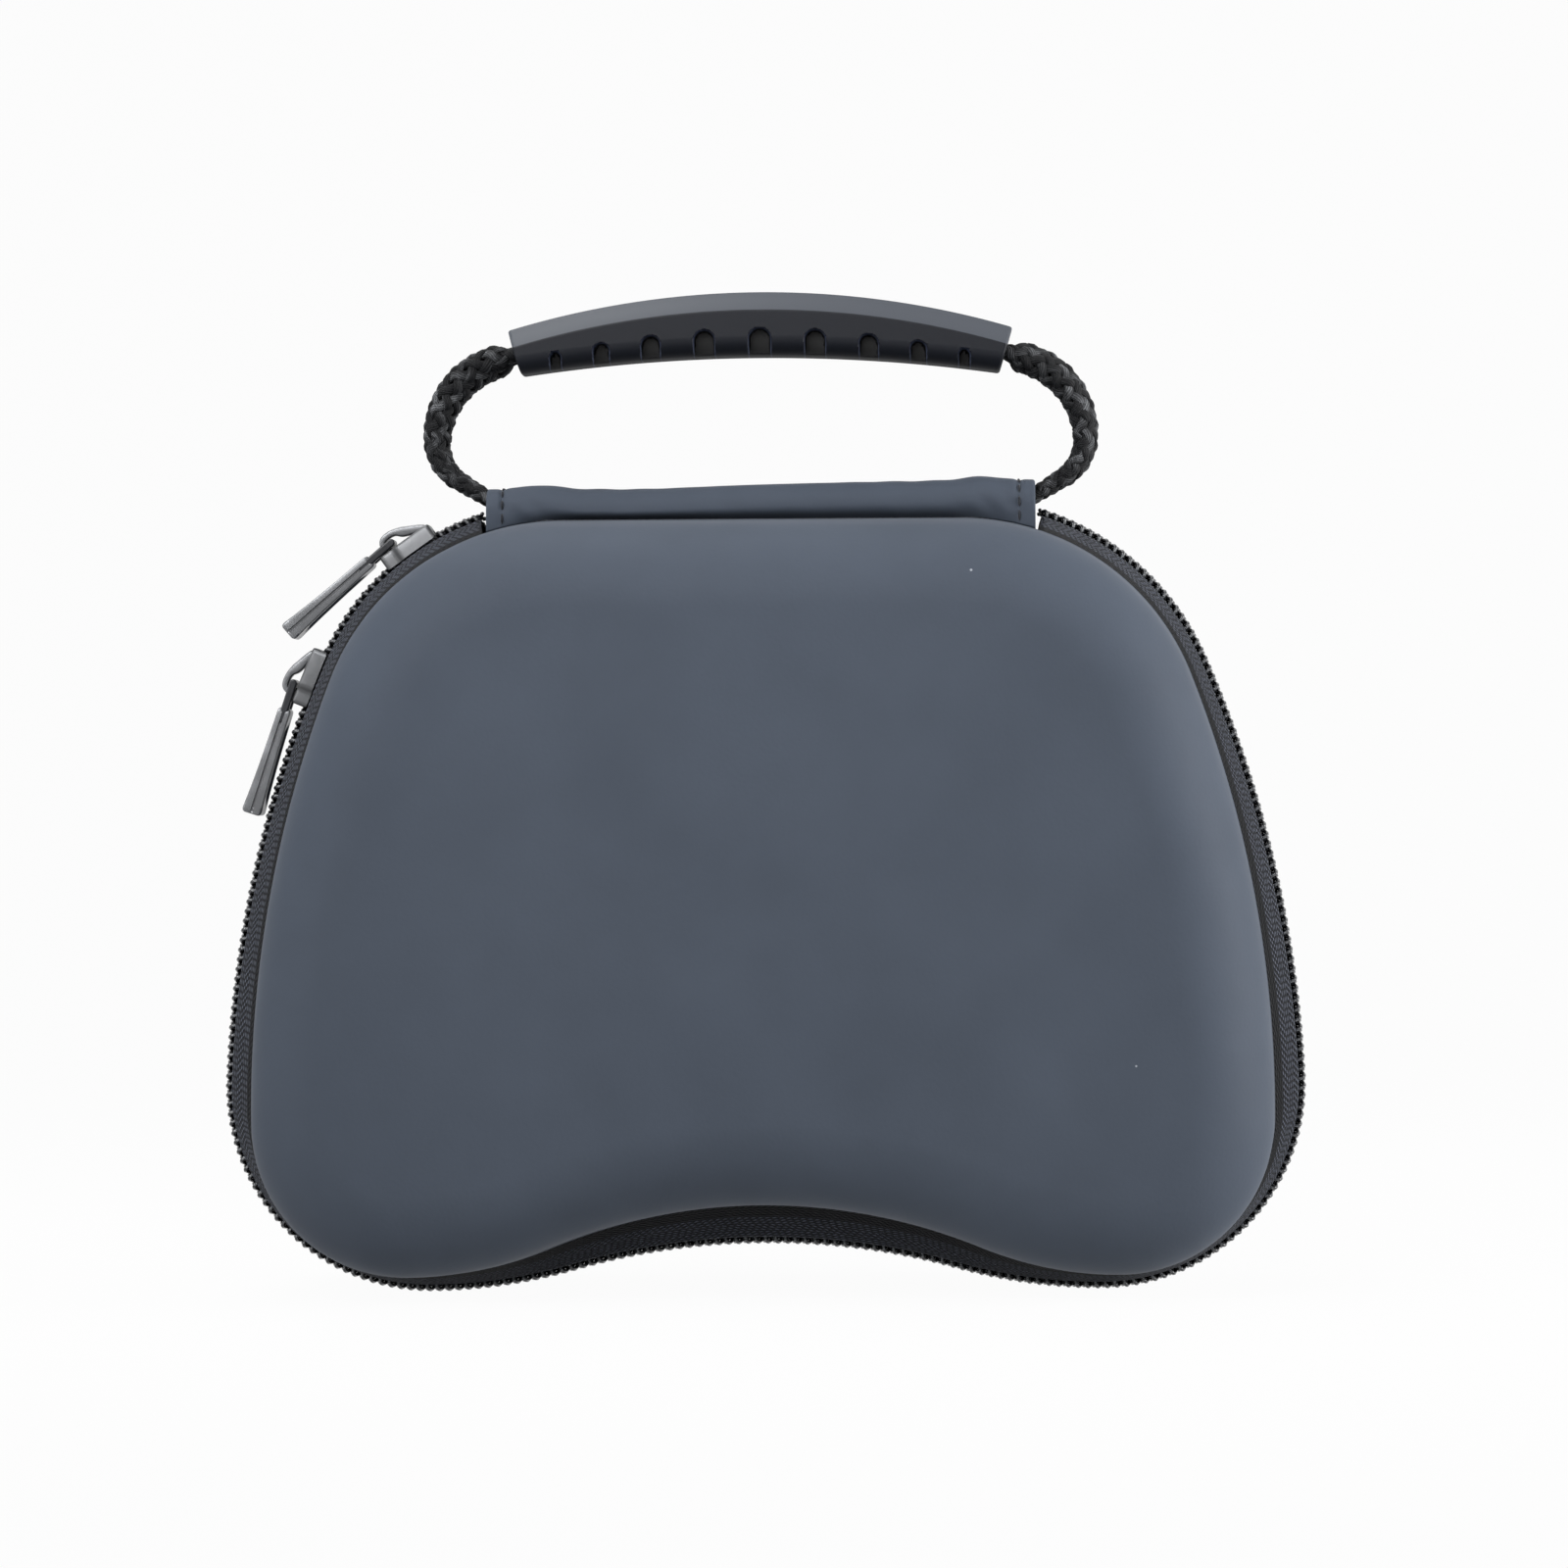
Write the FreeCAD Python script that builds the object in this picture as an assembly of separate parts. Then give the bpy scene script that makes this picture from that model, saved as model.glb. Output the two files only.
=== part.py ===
"""Hard carrying case for a game controller: two moulded shells, a round-the-edge coil zip
with two sliders, a leather hinge sleeve on top and a webbing handle with a slotted grip.
Millimetres, +Z up along the handle, front face towards -Y, zip plane at y = 0."""
import FreeCAD
import Part
import math
import os

V = FreeCAD.Vector

# DIMENSIONS: outline of the zip, seen from the front
CASE_WIDTH = 182.0
CASE_HEIGHT = 133.5
LOBE_RADIUS = 34.5
LOBE_FLOOR_RADIUS = 90.0
NOTCH_HEIGHT = 7.8
CORNER_RADIUS = 45.0
CORNER_X = 33.5
SIDE_RADIUS = 200.0

# DIMENSIONS: outline of the shells at their rims
SHELL_SIDE_INSET = 5.7
SHELL_FLOOR_INSET = 3.1
SHELL_TOP_INSET = 4.0
SHELL_LOBE_RADIUS = 26.5
SHELL_FLOOR_RADIUS = 60.0
SHELL_NOTCH_HEIGHT = 11.7
SHELL_CORNER_RADIUS = 41.0
SHELL_SIDE_RADIUS = 200.0

# DIMENSIONS: shells in depth
RIM_Y = 8.0
CROWN_Y = 37.0
DRAFT = 2.0
SHOULDER_RADIUS = 15.0
WALL = 3.0
BINDING_THICKNESS = 0.8
BINDING_DEPTH = 4.0

# DIMENSIONS: zip
TAPE_THICKNESS = 0.8
TAPE_FLAT_Y = 5.5
TAPE_EDGE_Y = 1.0
TAPE_RIM_INSET = 0.3
TOOTH_PITCH = 1.65
TOOTH_WIDTH = 0.7
TOOTH_DEPTH = 1.5
TOOTH_REACH = 0.9
TOOTH_FOOT_Y = 3.0

# DIMENSIONS: hinge sleeve on top
SLEEVE_LENGTH = 92.0
SLEEVE_HALF_WIDTH = 7.5
SLEEVE_WALL = 0.9
SLEEVE_FOOT_GAP = 0.4
ZIP_END_GAP = 1.0
SLEEVE_RISE = 6.3
SLEEVE_BULGE = 0.5
SLEEVE_CORNER = 3.8
HEM_MARGIN = 2.7
STITCH_LENGTH = 1.9
STITCH_GAUGE = 0.5
STITCH_PITCH = 2.4
HINGE_STRIP_THICKNESS = 0.6
HINGE_STRIP_GAP = 0.2

# DIMENSIONS: handle
CORD_THICKNESS = 3.2
CORD_WIDTH = 7.5
CORD_EDGE_RADIUS = 1.2
CORD_TUCK = 9.0
CORD_AXIS_RISE = 3.7
CORD_SHOULDER_RADIUS = 17.5
CORD_FOOT_RADIUS = 6.8
LOOP_OVERHANG = 8.8
GRIP_LENGTH = 84.8
GRIP_TOP_RADIUS = 148.0
GRIP_BOTTOM_RADIUS = 277.0
GRIP_TOP_RISE = 34.3
GRIP_HEIGHT = 10.6
GRIP_WIDTH = 14.0
GRIP_BEVEL_HEIGHT = 3.2
GRIP_BEVEL_WIDTH = 3.0
GRIP_EDGE_RADIUS = 1.4
GRIP_CORD_DEPTH = 4.0
GRIP_CORD_GAP = 0.15
SLOT_DEPTH = 2.4
SLOT_X = (0.0, 9.3, 18.3, 26.6, 34.3)
SLOT_WIDTH = (3.6, 3.4, 3.1, 2.6, 1.8)
SLOT_HEIGHT = (3.7, 3.5, 3.1, 2.6, 2.0)

# DIMENSIONS: sliders and pulls
SLIDER_LENGTH = 10.0
SLIDER_HALF_WIDTH = 4.5
SLIDER_PLATE = 1.2
SLIDER_LIP = 1.2
SLIDER_TAPE_GAP = 0.3
SLIDER_POST_LENGTH = 3.0
SLIDER_POST_HALF_WIDTH = 0.8
SLIDER_FROM_LOOP = 3.6
SLIDER_SPACING = 27.8
BRIDGE_LENGTH = 8.0
BRIDGE_HEIGHT = 3.0
BRIDGE_BAR = 1.0
BRIDGE_CORNER = 1.6
BRIDGE_WIDTH = 2.6
LINK_LENGTH = 7.0
LINK_WIDTH = 5.6
LINK_BAR = 1.3
LINK_CLEARANCE = 0.45
PULL_LENGTH = 17.8
PULL_WIDTH = 7.0
PULL_ROOT_LENGTH = 3.3
PULL_ROOT_THICKNESS = 2.5
PULL_WAIST_THICKNESS = 2.2
PULL_TIP_THICKNESS = 3.4
PULL_TIP_LENGTH = 0.8
PULL_EYE_CLEARANCE = 0.2
UPPER_PULL_TOE_IN = 5.6
LOWER_PULL_TOE_IN = 4.3

# DIMENSIONS: net pocket in the front half
POCKET_TOP_Z = 84.0
POCKET_Y = 12.5
NET_THICKNESS = 0.8
NET_HOLE = 8.0
NET_PITCH = 12.2
NET_MARGIN = 7.0
NET_EDGE = 4.0
HEM_HEIGHT = 6.0
HEM_THICKNESS = 1.8


def xz(x, z, y=0.0):
    """A point given by its place in the front view."""
    return V(x, y, z)


class Outline:
    """Closed line of tangent arcs in the front view, symmetric about x = 0."""

    def __init__(self, half_width, floor, top, lobe, floor_radius, notch, corner, corner_x, side):
        self.top = top
        self.floor = floor
        self.corner = corner
        self.corner_x = corner_x
        self.corner_z = top - corner
        self.lobe = lobe
        self.lobe_x = half_width - lobe
        self.lobe_z = floor + lobe
        self.floor_radius = floor_radius
        self.floor_z = floor + floor_radius
        spread = self.lobe_x * self.lobe_x + notch * notch
        self.notch_radius = spread / (2.0 * notch) - floor_radius
        self.notch_z = floor + notch - self.notch_radius
        self.side = side
        dx = self.corner_x - self.lobe_x
        dz = self.corner_z - self.lobe_z
        gap = math.hypot(dx, dz)
        a = side - lobe
        b = side - corner
        along = (a * a - b * b + gap * gap) / (2.0 * gap)
        across = math.sqrt(max(0.0, a * a - along * along))
        ux = dx / gap
        uz = dz / gap
        self.side_x = self.lobe_x + ux * along - uz * across
        self.side_z = self.lobe_z + uz * along + ux * across
        if self.side_x > self.lobe_x:
            self.side_x = self.lobe_x + ux * along + uz * across
            self.side_z = self.lobe_z + uz * along - ux * across

    def arcs(self, inset):
        """Right-hand arcs from the notch to the top: centre, radius, start and end angle."""
        notch_r = self.notch_radius + inset
        floor_r = self.floor_radius - inset
        lobe_r = self.lobe - inset
        side_r = self.side - inset
        corner_r = self.corner - inset
        down = math.atan2(self.notch_z - self.floor_z, 0.0 - self.lobe_x)
        low = math.atan2(self.lobe_z - self.side_z, self.lobe_x - self.side_x)
        high = math.atan2(self.corner_z - self.side_z, self.corner_x - self.side_x)
        quarter = math.pi / 2.0
        rise = math.atan2(self.floor_z - self.notch_z, self.lobe_x)
        return [
            (0.0, self.notch_z, notch_r, quarter, rise),
            (self.lobe_x, self.floor_z, floor_r, down, -quarter),
            (self.lobe_x, self.lobe_z, lobe_r, -quarter, low),
            (self.side_x, self.side_z, side_r, low, high),
            (self.corner_x, self.corner_z, corner_r, high, quarter),
        ]

    def wire(self, inset, y):
        """The outline moved inwards by inset, as ten edges in the plane at y."""
        right = []
        for cx, cz, r, a0, a1 in self.arcs(inset):
            right.append((cx, cz, r, a0, a1))
        edges = []
        cx, cz, r, a0, a1 = right[0]
        edges.append(arc_edge(cx, cz, r, math.pi - a1, a1, y))
        for cx, cz, r, a0, a1 in right[1:]:
            edges.append(arc_edge(cx, cz, r, a0, a1, y))
        top = self.top - inset
        edges.append(Part.makeLine(xz(self.corner_x, top, y), xz(-self.corner_x, top, y)))
        for cx, cz, r, a0, a1 in reversed(right[1:]):
            edges.append(arc_edge(-cx, cz, r, math.pi - a1, math.pi - a0, y))
        return Part.Wire(edges)

    def left_spot(self, start_x, run):
        """Arc centre, radius and angle on the upper left, run millimetres on from x = -start_x."""
        legs = []
        for cx, cz, r, a0, a1 in reversed(self.arcs(0.0)[2:]):
            legs.append((-cx, cz, r, math.pi - a1, abs(a1 - a0) * r))

        def at(distance):
            left = distance
            for cx, cz, r, a, length in legs:
                if left <= length or (cx, cz, r, a, length) == legs[-1]:
                    return cx, cz, r, a + left / r
                left -= length

        low = 0.0
        high = sum(leg[4] for leg in legs[:2])
        for step in range(60):
            middle = (low + high) / 2.0
            cx, cz, r, a = at(middle)
            if cx + r * math.cos(a) > -start_x:
                low = middle
            else:
                high = middle
        cx, cz, r, a = at(low + run)
        return cx, cz, r, math.degrees(a)

    def stations(self, inset, pitch, clear_x):
        """Points and outward directions all round, evenly spaced, apart from the top."""
        path = []
        for cx, cz, r, a0, a1 in self.arcs(inset):
            path.append((cx, cz, r, a0, a1))
        spots = []
        travelled = 0.0
        wanted = pitch / 2.0
        for number, (cx, cz, r, a0, a1) in enumerate(path):
            length = abs(a1 - a0) * r
            while wanted <= travelled + length:
                t = (wanted - travelled) / length
                a = a0 + (a1 - a0) * t
                x = cx + r * math.cos(a)
                z = cz + r * math.sin(a)
                sign = 1.0
                if number == 0:
                    sign = -1.0
                if z < self.corner_z or x > clear_x:
                    spots.append((x, z, sign * math.cos(a), sign * math.sin(a)))
                wanted += pitch
            travelled += length
        mirrored = []
        for x, z, nx, nz in reversed(spots):
            mirrored.append((-x, z, -nx, nz))
        return mirrored + spots


def arc_edge(cx, cz, r, a0, a1, y):
    """Arc in the front view from angle a0 to a1."""
    am = (a0 + a1) / 2.0
    p0 = xz(cx + r * math.cos(a0), cz + r * math.sin(a0), y)
    pm = xz(cx + r * math.cos(am), cz + r * math.sin(am), y)
    p1 = xz(cx + r * math.cos(a1), cz + r * math.sin(a1), y)
    return Part.Arc(p0, pm, p1).toShape()


def ruled(wire_a, wire_b):
    """Solid between two outlines."""
    return Part.makeLoft([wire_a, wire_b], True, True)


def block(x0, x1, y0, y1, z0, z1):
    return Part.makeBox(x1 - x0, y1 - y0, z1 - z0, V(x0, y0, z0))


def mirrored(shape):
    """The same piece on the front half."""
    return shape.mirror(V(0, 0, 0), V(0, 1, 0))


def turned_frame(cx, cz, radius, angle):
    """Placement of a slider: +X along the zip, +Z outwards, origin on the zip line."""
    a = math.radians(angle)
    spot = xz(cx + radius * math.cos(a), cz + radius * math.sin(a))
    return FreeCAD.Placement(spot, FreeCAD.Rotation(V(0, 1, 0), 90.0 - angle))


zip_line = Outline(CASE_WIDTH / 2.0, 0.0, CASE_HEIGHT, LOBE_RADIUS, LOBE_FLOOR_RADIUS,
                   NOTCH_HEIGHT, CORNER_RADIUS, CORNER_X, SIDE_RADIUS)
rim_line = Outline(CASE_WIDTH / 2.0 - SHELL_SIDE_INSET, SHELL_FLOOR_INSET,
                   CASE_HEIGHT - SHELL_TOP_INSET, SHELL_LOBE_RADIUS, SHELL_FLOOR_RADIUS,
                   SHELL_NOTCH_HEIGHT, SHELL_CORNER_RADIUS, CORNER_X, SHELL_SIDE_RADIUS)
RIM_TOP = CASE_HEIGHT - SHELL_TOP_INSET


def domed(inset, crown, shoulder, mouth):
    """Outline drawn in towards a crown with a broad round shoulder."""
    slope = DRAFT / (CROWN_Y - RIM_Y)
    at_mouth = inset - slope * (RIM_Y - mouth)
    at_crown = inset + slope * (crown - RIM_Y)
    body = ruled(rim_line.wire(at_mouth, mouth), rim_line.wire(at_crown, crown))
    edges = []
    for edge in body.Edges:
        box = edge.BoundBox
        if box.YMin > crown - 0.01:
            edges.append(edge)
    return body.makeFillet(shoulder, edges)


outer = domed(0.0, CROWN_Y, SHOULDER_RADIUS, RIM_Y)
cavity = domed(WALL, CROWN_Y - WALL, SHOULDER_RADIUS - WALL, RIM_Y - 1.0)
back_shell = outer.cut(cavity)

inside = domed(WALL + BINDING_THICKNESS, CROWN_Y - WALL, SHOULDER_RADIUS - WALL, RIM_Y - 1.0)
binding_zone = block(-CASE_WIDTH, CASE_WIDTH, RIM_Y, RIM_Y + BINDING_DEPTH, -CASE_HEIGHT,
                     2.0 * CASE_HEIGHT)
inner_binding = cavity.common(binding_zone).cut(inside)


def ring(line_a, inset_a, y_a, line_b, inset_b, y_b, thickness):
    """Band of cloth between two outlines."""
    whole = ruled(line_a.wire(inset_a, y_a), line_b.wire(inset_b, y_b))
    hollow = ruled(line_a.wire(inset_a + thickness, y_a), line_b.wire(inset_b + thickness, y_b))
    return whole.cut(hollow)


flat_band = ring(zip_line, TOOTH_DEPTH, TAPE_EDGE_Y, zip_line, TOOTH_DEPTH, TAPE_FLAT_Y,
                 TAPE_THICKNESS)
side_band = ring(zip_line, TOOTH_DEPTH, TAPE_FLAT_Y, rim_line, TAPE_RIM_INSET, RIM_Y,
                 TAPE_THICKNESS)
sleeve_end = SLEEVE_LENGTH / 2.0
top_cut = block(-sleeve_end - ZIP_END_GAP, sleeve_end + ZIP_END_GAP, -RIM_Y - 1, RIM_Y + 1,
                CASE_HEIGHT - CORNER_RADIUS, 2.0 * CASE_HEIGHT)
zipper_tape_back = flat_band.fuse(side_band).cut(top_cut).removeSplitter()


loop_reach = sleeve_end + LOOP_OVERHANG + CORD_THICKNESS / 2.0
upper_spot = zip_line.left_spot(loop_reach, SLIDER_FROM_LOOP)
lower_spot = zip_line.left_spot(loop_reach, SLIDER_FROM_LOOP + SLIDER_SPACING)
upper_place = turned_frame(*upper_spot)
lower_place = turned_frame(*lower_spot)

tooth_line = zip_line.stations(0.0, TOOTH_PITCH / 2.0, sleeve_end + ZIP_END_GAP + TOOTH_WIDTH)
post_start = SLIDER_LENGTH / 2.0 - SLIDER_POST_LENGTH


def in_post(x, z):
    """True where a slider's post parts the two rows."""
    for place in (upper_place, lower_place):
        spot = place.inverse().multVec(xz(x, z))
        near = abs(spot.z) < 3.0
        if near and post_start - TOOTH_WIDTH < spot.x < SLIDER_LENGTH / 2.0 + TOOTH_WIDTH:
            return True
    return False


def tooth(x, z, nx, nz, side):
    """One coil turn: a small block that lies on its tape and reaches across the zip plane."""
    tx = nz * TOOTH_WIDTH / 2.0
    tz = -nx * TOOTH_WIDTH / 2.0
    ix = x - nx * TOOTH_DEPTH
    iz = z - nz * TOOTH_DEPTH
    near = -TOOTH_REACH * side
    far = TOOTH_FOOT_Y * side
    points = [xz(x - tx, z - tz, near), xz(x + tx, z + tz, near)]
    points += [xz(ix + tx, iz + tz, near), xz(ix - tx, iz - tz, near)]
    face = Part.Face(Part.makePolygon(points + [points[0]]))
    return face.extrude(V(0, far - near, 0))


back_teeth = []
front_teeth = []
for number, (x, z, nx, nz) in enumerate(tooth_line):
    if in_post(x, z):
        continue
    if number % 2 == 0:
        back_teeth.append(tooth(x, z, nx, nz, 1.0))
    else:
        front_teeth.append(tooth(x, z, nx, nz, -1.0))
zipper_teeth_back = Part.makeCompound(back_teeth)
zipper_teeth_front = Part.makeCompound(front_teeth)


def sleeve_section(x, half, rise, corner, foot):
    """Rounded hood across the top at x, open side down."""
    top = RIM_TOP + rise
    bend = corner * (1.0 - math.sqrt(0.5))
    a = V(x, -half, foot)
    b = V(x, -half, top - corner)
    bm = V(x, -half + bend, top - bend)
    c = V(x, -half + corner, top)
    d = V(x, half - corner, top)
    dm = V(x, half - bend, top - bend)
    e = V(x, half, top - corner)
    f = V(x, half, foot)
    edges = [Part.makeLine(a, b), Part.Arc(b, bm, c).toShape(), Part.makeLine(c, d)]
    edges += [Part.Arc(d, dm, e).toShape(), Part.makeLine(e, f), Part.makeLine(f, a)]
    return Part.Wire(edges)


sleeve_foot = RIM_TOP + SLEEVE_FOOT_GAP


def foot_at(x):
    """Height of the hood's foot: it follows the shells' rims round their corners."""
    over = max(0.0, abs(x) - CORNER_X)
    drop = SHELL_CORNER_RADIUS - math.sqrt(SHELL_CORNER_RADIUS ** 2 - over ** 2)
    return sleeve_foot - drop


bulge_x = sleeve_end - CORD_TUCK
hood_shape = [(sleeve_end, 0.0), (sleeve_end - HEM_MARGIN, 0.3), (bulge_x, 1.0),
              (bulge_x - CORD_TUCK, 0.25), (0.0, 0.1)]
stations = []
for sx, share in hood_shape:
    stations.append((-sx, share))
for sx, share in reversed(hood_shape[:-1]):
    stations.append((sx, share))
skins = []
cores = []
for number, (sx, share) in enumerate(stations):
    rise = SLEEVE_RISE + SLEEVE_BULGE * share
    skins.append(sleeve_section(sx, SLEEVE_HALF_WIDTH, rise, SLEEVE_CORNER, foot_at(sx)))
    reach = sx
    if number == 0 or number == len(stations) - 1:
        reach = sx * 1.001
    cores.append(sleeve_section(reach, SLEEVE_HALF_WIDTH - SLEEVE_WALL, rise - SLEEVE_WALL,
                                SLEEVE_CORNER - SLEEVE_WALL, foot_at(sx) - SLEEVE_FOOT_GAP))
hinge_sleeve = Part.makeLoft(skins, True, True).cut(Part.makeLoft(cores, True, True))

strip_top = sleeve_foot - HINGE_STRIP_GAP
strip_half = SLEEVE_HALF_WIDTH - SLEEVE_WALL - HINGE_STRIP_GAP
hinge_strip = block(-sleeve_end + 0.5, sleeve_end - 0.5, -strip_half, strip_half,
                    strip_top - HINGE_STRIP_THICKNESS, strip_top)

stitches = []
stitch_x = sleeve_end - HEM_MARGIN
hem_top = RIM_TOP + SLEEVE_RISE + SLEEVE_BULGE * 0.3
for side_x in (-1.0, 1.0):
    x0 = side_x * stitch_x - STITCH_GAUGE / 2.0
    x1 = side_x * stitch_x + STITCH_GAUGE / 2.0
    for y_mid in (-STITCH_PITCH, 0.0, STITCH_PITCH):
        stitches.append(block(x0, x1, y_mid - STITCH_LENGTH / 2.0, y_mid + STITCH_LENGTH / 2.0,
                              hem_top, hem_top + STITCH_GAUGE * 0.6))
    for side_y in (-1.0, 1.0):
        edge = side_y * SLEEVE_HALF_WIDTH
        y0 = min(edge, edge + side_y * STITCH_GAUGE * 0.6)
        y1 = max(edge, edge + side_y * STITCH_GAUGE * 0.6)
        for row in (0.0, 1.0):
            z0 = foot_at(stitch_x) + STITCH_GAUGE * 0.3 + STITCH_PITCH * row
            stitches.append(block(x0, x1, y0, y1, z0, z0 + STITCH_LENGTH * 0.8))
sleeve_stitching = Part.makeCompound(stitches)


AXIS_Z = RIM_TOP + CORD_AXIS_RISE
GRIP_TOP_Z = CASE_HEIGHT + GRIP_TOP_RISE
GRIP_CENTRE_Z = GRIP_TOP_Z - GRIP_TOP_RADIUS
grip_angle = math.asin(GRIP_LENGTH / 2.0 / GRIP_TOP_RADIUS)
cord_radius = GRIP_TOP_RADIUS - GRIP_CORD_DEPTH
end_x = cord_radius * math.sin(grip_angle)
end_z = GRIP_CENTRE_Z + cord_radius * math.cos(grip_angle)
reach_x = sleeve_end + LOOP_OVERHANG
lean = 1.0 - math.sin(grip_angle)
foot_radius = CORD_FOOT_RADIUS
foot_x = reach_x - foot_radius
foot_z = AXIS_Z + foot_radius
wide_room = (reach_x - end_x) / lean
tall_room = (end_z - foot_z) * math.cos(grip_angle) - (reach_x - end_x) * math.sin(grip_angle)
shoulder = min(CORD_SHOULDER_RADIUS, wide_room, tall_room / lean)
slant = (reach_x - end_x - shoulder * lean) / math.cos(grip_angle)
slant_x = end_x + slant * math.cos(grip_angle)
slant_z = end_z - slant * math.sin(grip_angle)
bend_x = slant_x - shoulder * math.sin(grip_angle)
bend_z = slant_z - shoulder * math.cos(grip_angle)
tuck_x = sleeve_end - CORD_TUCK


def cord_side(o, y):
    """Edges of the loop at offset o from its middle line, from the left tuck to the right one."""
    half = math.pi / 2.0
    s = math.sin(grip_angle)
    c = math.cos(grip_angle)
    right = [arc_edge(bend_x, bend_z, shoulder + o, half - grip_angle, 0.0, y)]
    if slant > 0.01:
        a = xz(end_x + o * s, end_z + o * c, y)
        b = xz(slant_x + o * s, slant_z + o * c, y)
        right.insert(0, Part.makeLine(a, b))
    if bend_z - foot_z > 0.01:
        right.append(Part.makeLine(xz(reach_x + o, bend_z, y), xz(reach_x + o, foot_z, y)))
    right.append(arc_edge(foot_x, foot_z, foot_radius + o, 0.0, -half, y))
    right.append(Part.makeLine(xz(foot_x, AXIS_Z - o, y), xz(tuck_x, AXIS_Z - o, y)))
    left = [edge.mirror(V(0, 0, 0), V(1, 0, 0)) for edge in right]
    top = arc_edge(0.0, GRIP_CENTRE_Z, cord_radius + o, half + grip_angle, half - grip_angle, y)
    return left + [top] + right


def cord_wire(offset, y):
    """Closed outline of the webbing loop in the front view, offset to both sides."""
    edges = cord_side(offset, y) + cord_side(-offset, y)
    for side in (-1.0, 1.0):
        a = xz(side * tuck_x, AXIS_Z - offset, y)
        b = xz(side * tuck_x, AXIS_Z + offset, y)
        edges.append(Part.makeLine(a, b))
    return Part.Wire(Part.__sortEdges__(edges))


def cord_solid(half_thickness, half_width):
    face = Part.Face(cord_wire(half_thickness, -half_width))
    return face.extrude(V(0, 2.0 * half_width, 0))


cord_raw = cord_solid(CORD_THICKNESS / 2.0, CORD_WIDTH / 2.0)
long_edges = []
for edge in cord_raw.Edges:
    box = edge.BoundBox
    if box.YMax - box.YMin < 0.001 and box.XMax - box.XMin > 0.5:
        long_edges.append(edge)
handle_cord = cord_raw.makeFillet(CORD_EDGE_RADIUS, long_edges)


def grip_profile(y):
    """Side view of the grip: two arcs and two ends square to the upper one."""
    s = math.sin(grip_angle)
    c = math.cos(grip_angle)
    bottom_z = GRIP_TOP_Z - GRIP_HEIGHT
    bottom_centre = bottom_z - GRIP_BOTTOM_RADIUS
    top_l = xz(-GRIP_TOP_RADIUS * s, GRIP_CENTRE_Z + GRIP_TOP_RADIUS * c, y)
    top_m = xz(0.0, GRIP_TOP_Z, y)
    top_r = xz(GRIP_TOP_RADIUS * s, GRIP_CENTRE_Z + GRIP_TOP_RADIUS * c, y)
    gap = bottom_centre - GRIP_CENTRE_Z
    reach = gap * c + math.sqrt(GRIP_BOTTOM_RADIUS ** 2 - (gap * s) ** 2)
    low_r = xz(reach * s, GRIP_CENTRE_Z + reach * c, y)
    low_m = xz(0.0, bottom_z, y)
    low_l = xz(-reach * s, GRIP_CENTRE_Z + reach * c, y)
    edges = [Part.Arc(top_l, top_m, top_r).toShape(), Part.makeLine(top_r, low_r)]
    edges += [Part.Arc(low_r, low_m, low_l).toShape(), Part.makeLine(low_l, top_l)]
    return Part.Wire(edges)


grip_raw = Part.Face(grip_profile(-GRIP_WIDTH / 2.0)).extrude(V(0, GRIP_WIDTH, 0))
bevel_cut = []
for side_y in (-1.0, 1.0):
    edge_y = side_y * GRIP_WIDTH / 2.0
    inner_y = edge_y - side_y * GRIP_BEVEL_WIDTH
    far_y = edge_y + side_y * 1.0
    drop = GRIP_BEVEL_HEIGHT / GRIP_BEVEL_WIDTH
    lift = GRIP_TOP_RADIUS + 1.0
    low = GRIP_TOP_RADIUS - GRIP_BEVEL_HEIGHT - drop
    points = [V(0, inner_y - side_y / drop, GRIP_CENTRE_Z + lift),
              V(0, far_y, GRIP_CENTRE_Z + lift), V(0, far_y, GRIP_CENTRE_Z + low)]
    face = Part.Face(Part.makePolygon(points + [points[0]]))
    centre = V(0, 0, GRIP_CENTRE_Z)
    face.rotate(centre, V(0, 1, 0), -25.0)
    bevel_cut.append(face.revolve(centre, V(0, 1, 0), 50.0))
grip_bevelled = grip_raw.cut(bevel_cut[0]).cut(bevel_cut[1])
low_edges = []
for edge in grip_bevelled.Edges:
    box = edge.BoundBox
    flat = box.YMax - box.YMin < 0.01
    if flat and box.XMax - box.XMin > GRIP_LENGTH * 0.8 and abs(box.YMin) > GRIP_WIDTH / 2.0 - 0.01:
        if box.ZMax < GRIP_TOP_Z - GRIP_BEVEL_HEIGHT - 1.5:
            low_edges.append(edge)
grip_round = grip_bevelled.makeFillet(GRIP_EDGE_RADIUS, low_edges)
tunnel = cord_solid(CORD_THICKNESS / 2.0 + GRIP_CORD_GAP, CORD_WIDTH / 2.0 + GRIP_CORD_GAP)
handle_grip = grip_round.cut(tunnel)
bottom_gap = GRIP_TOP_Z - GRIP_HEIGHT - GRIP_BOTTOM_RADIUS
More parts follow.
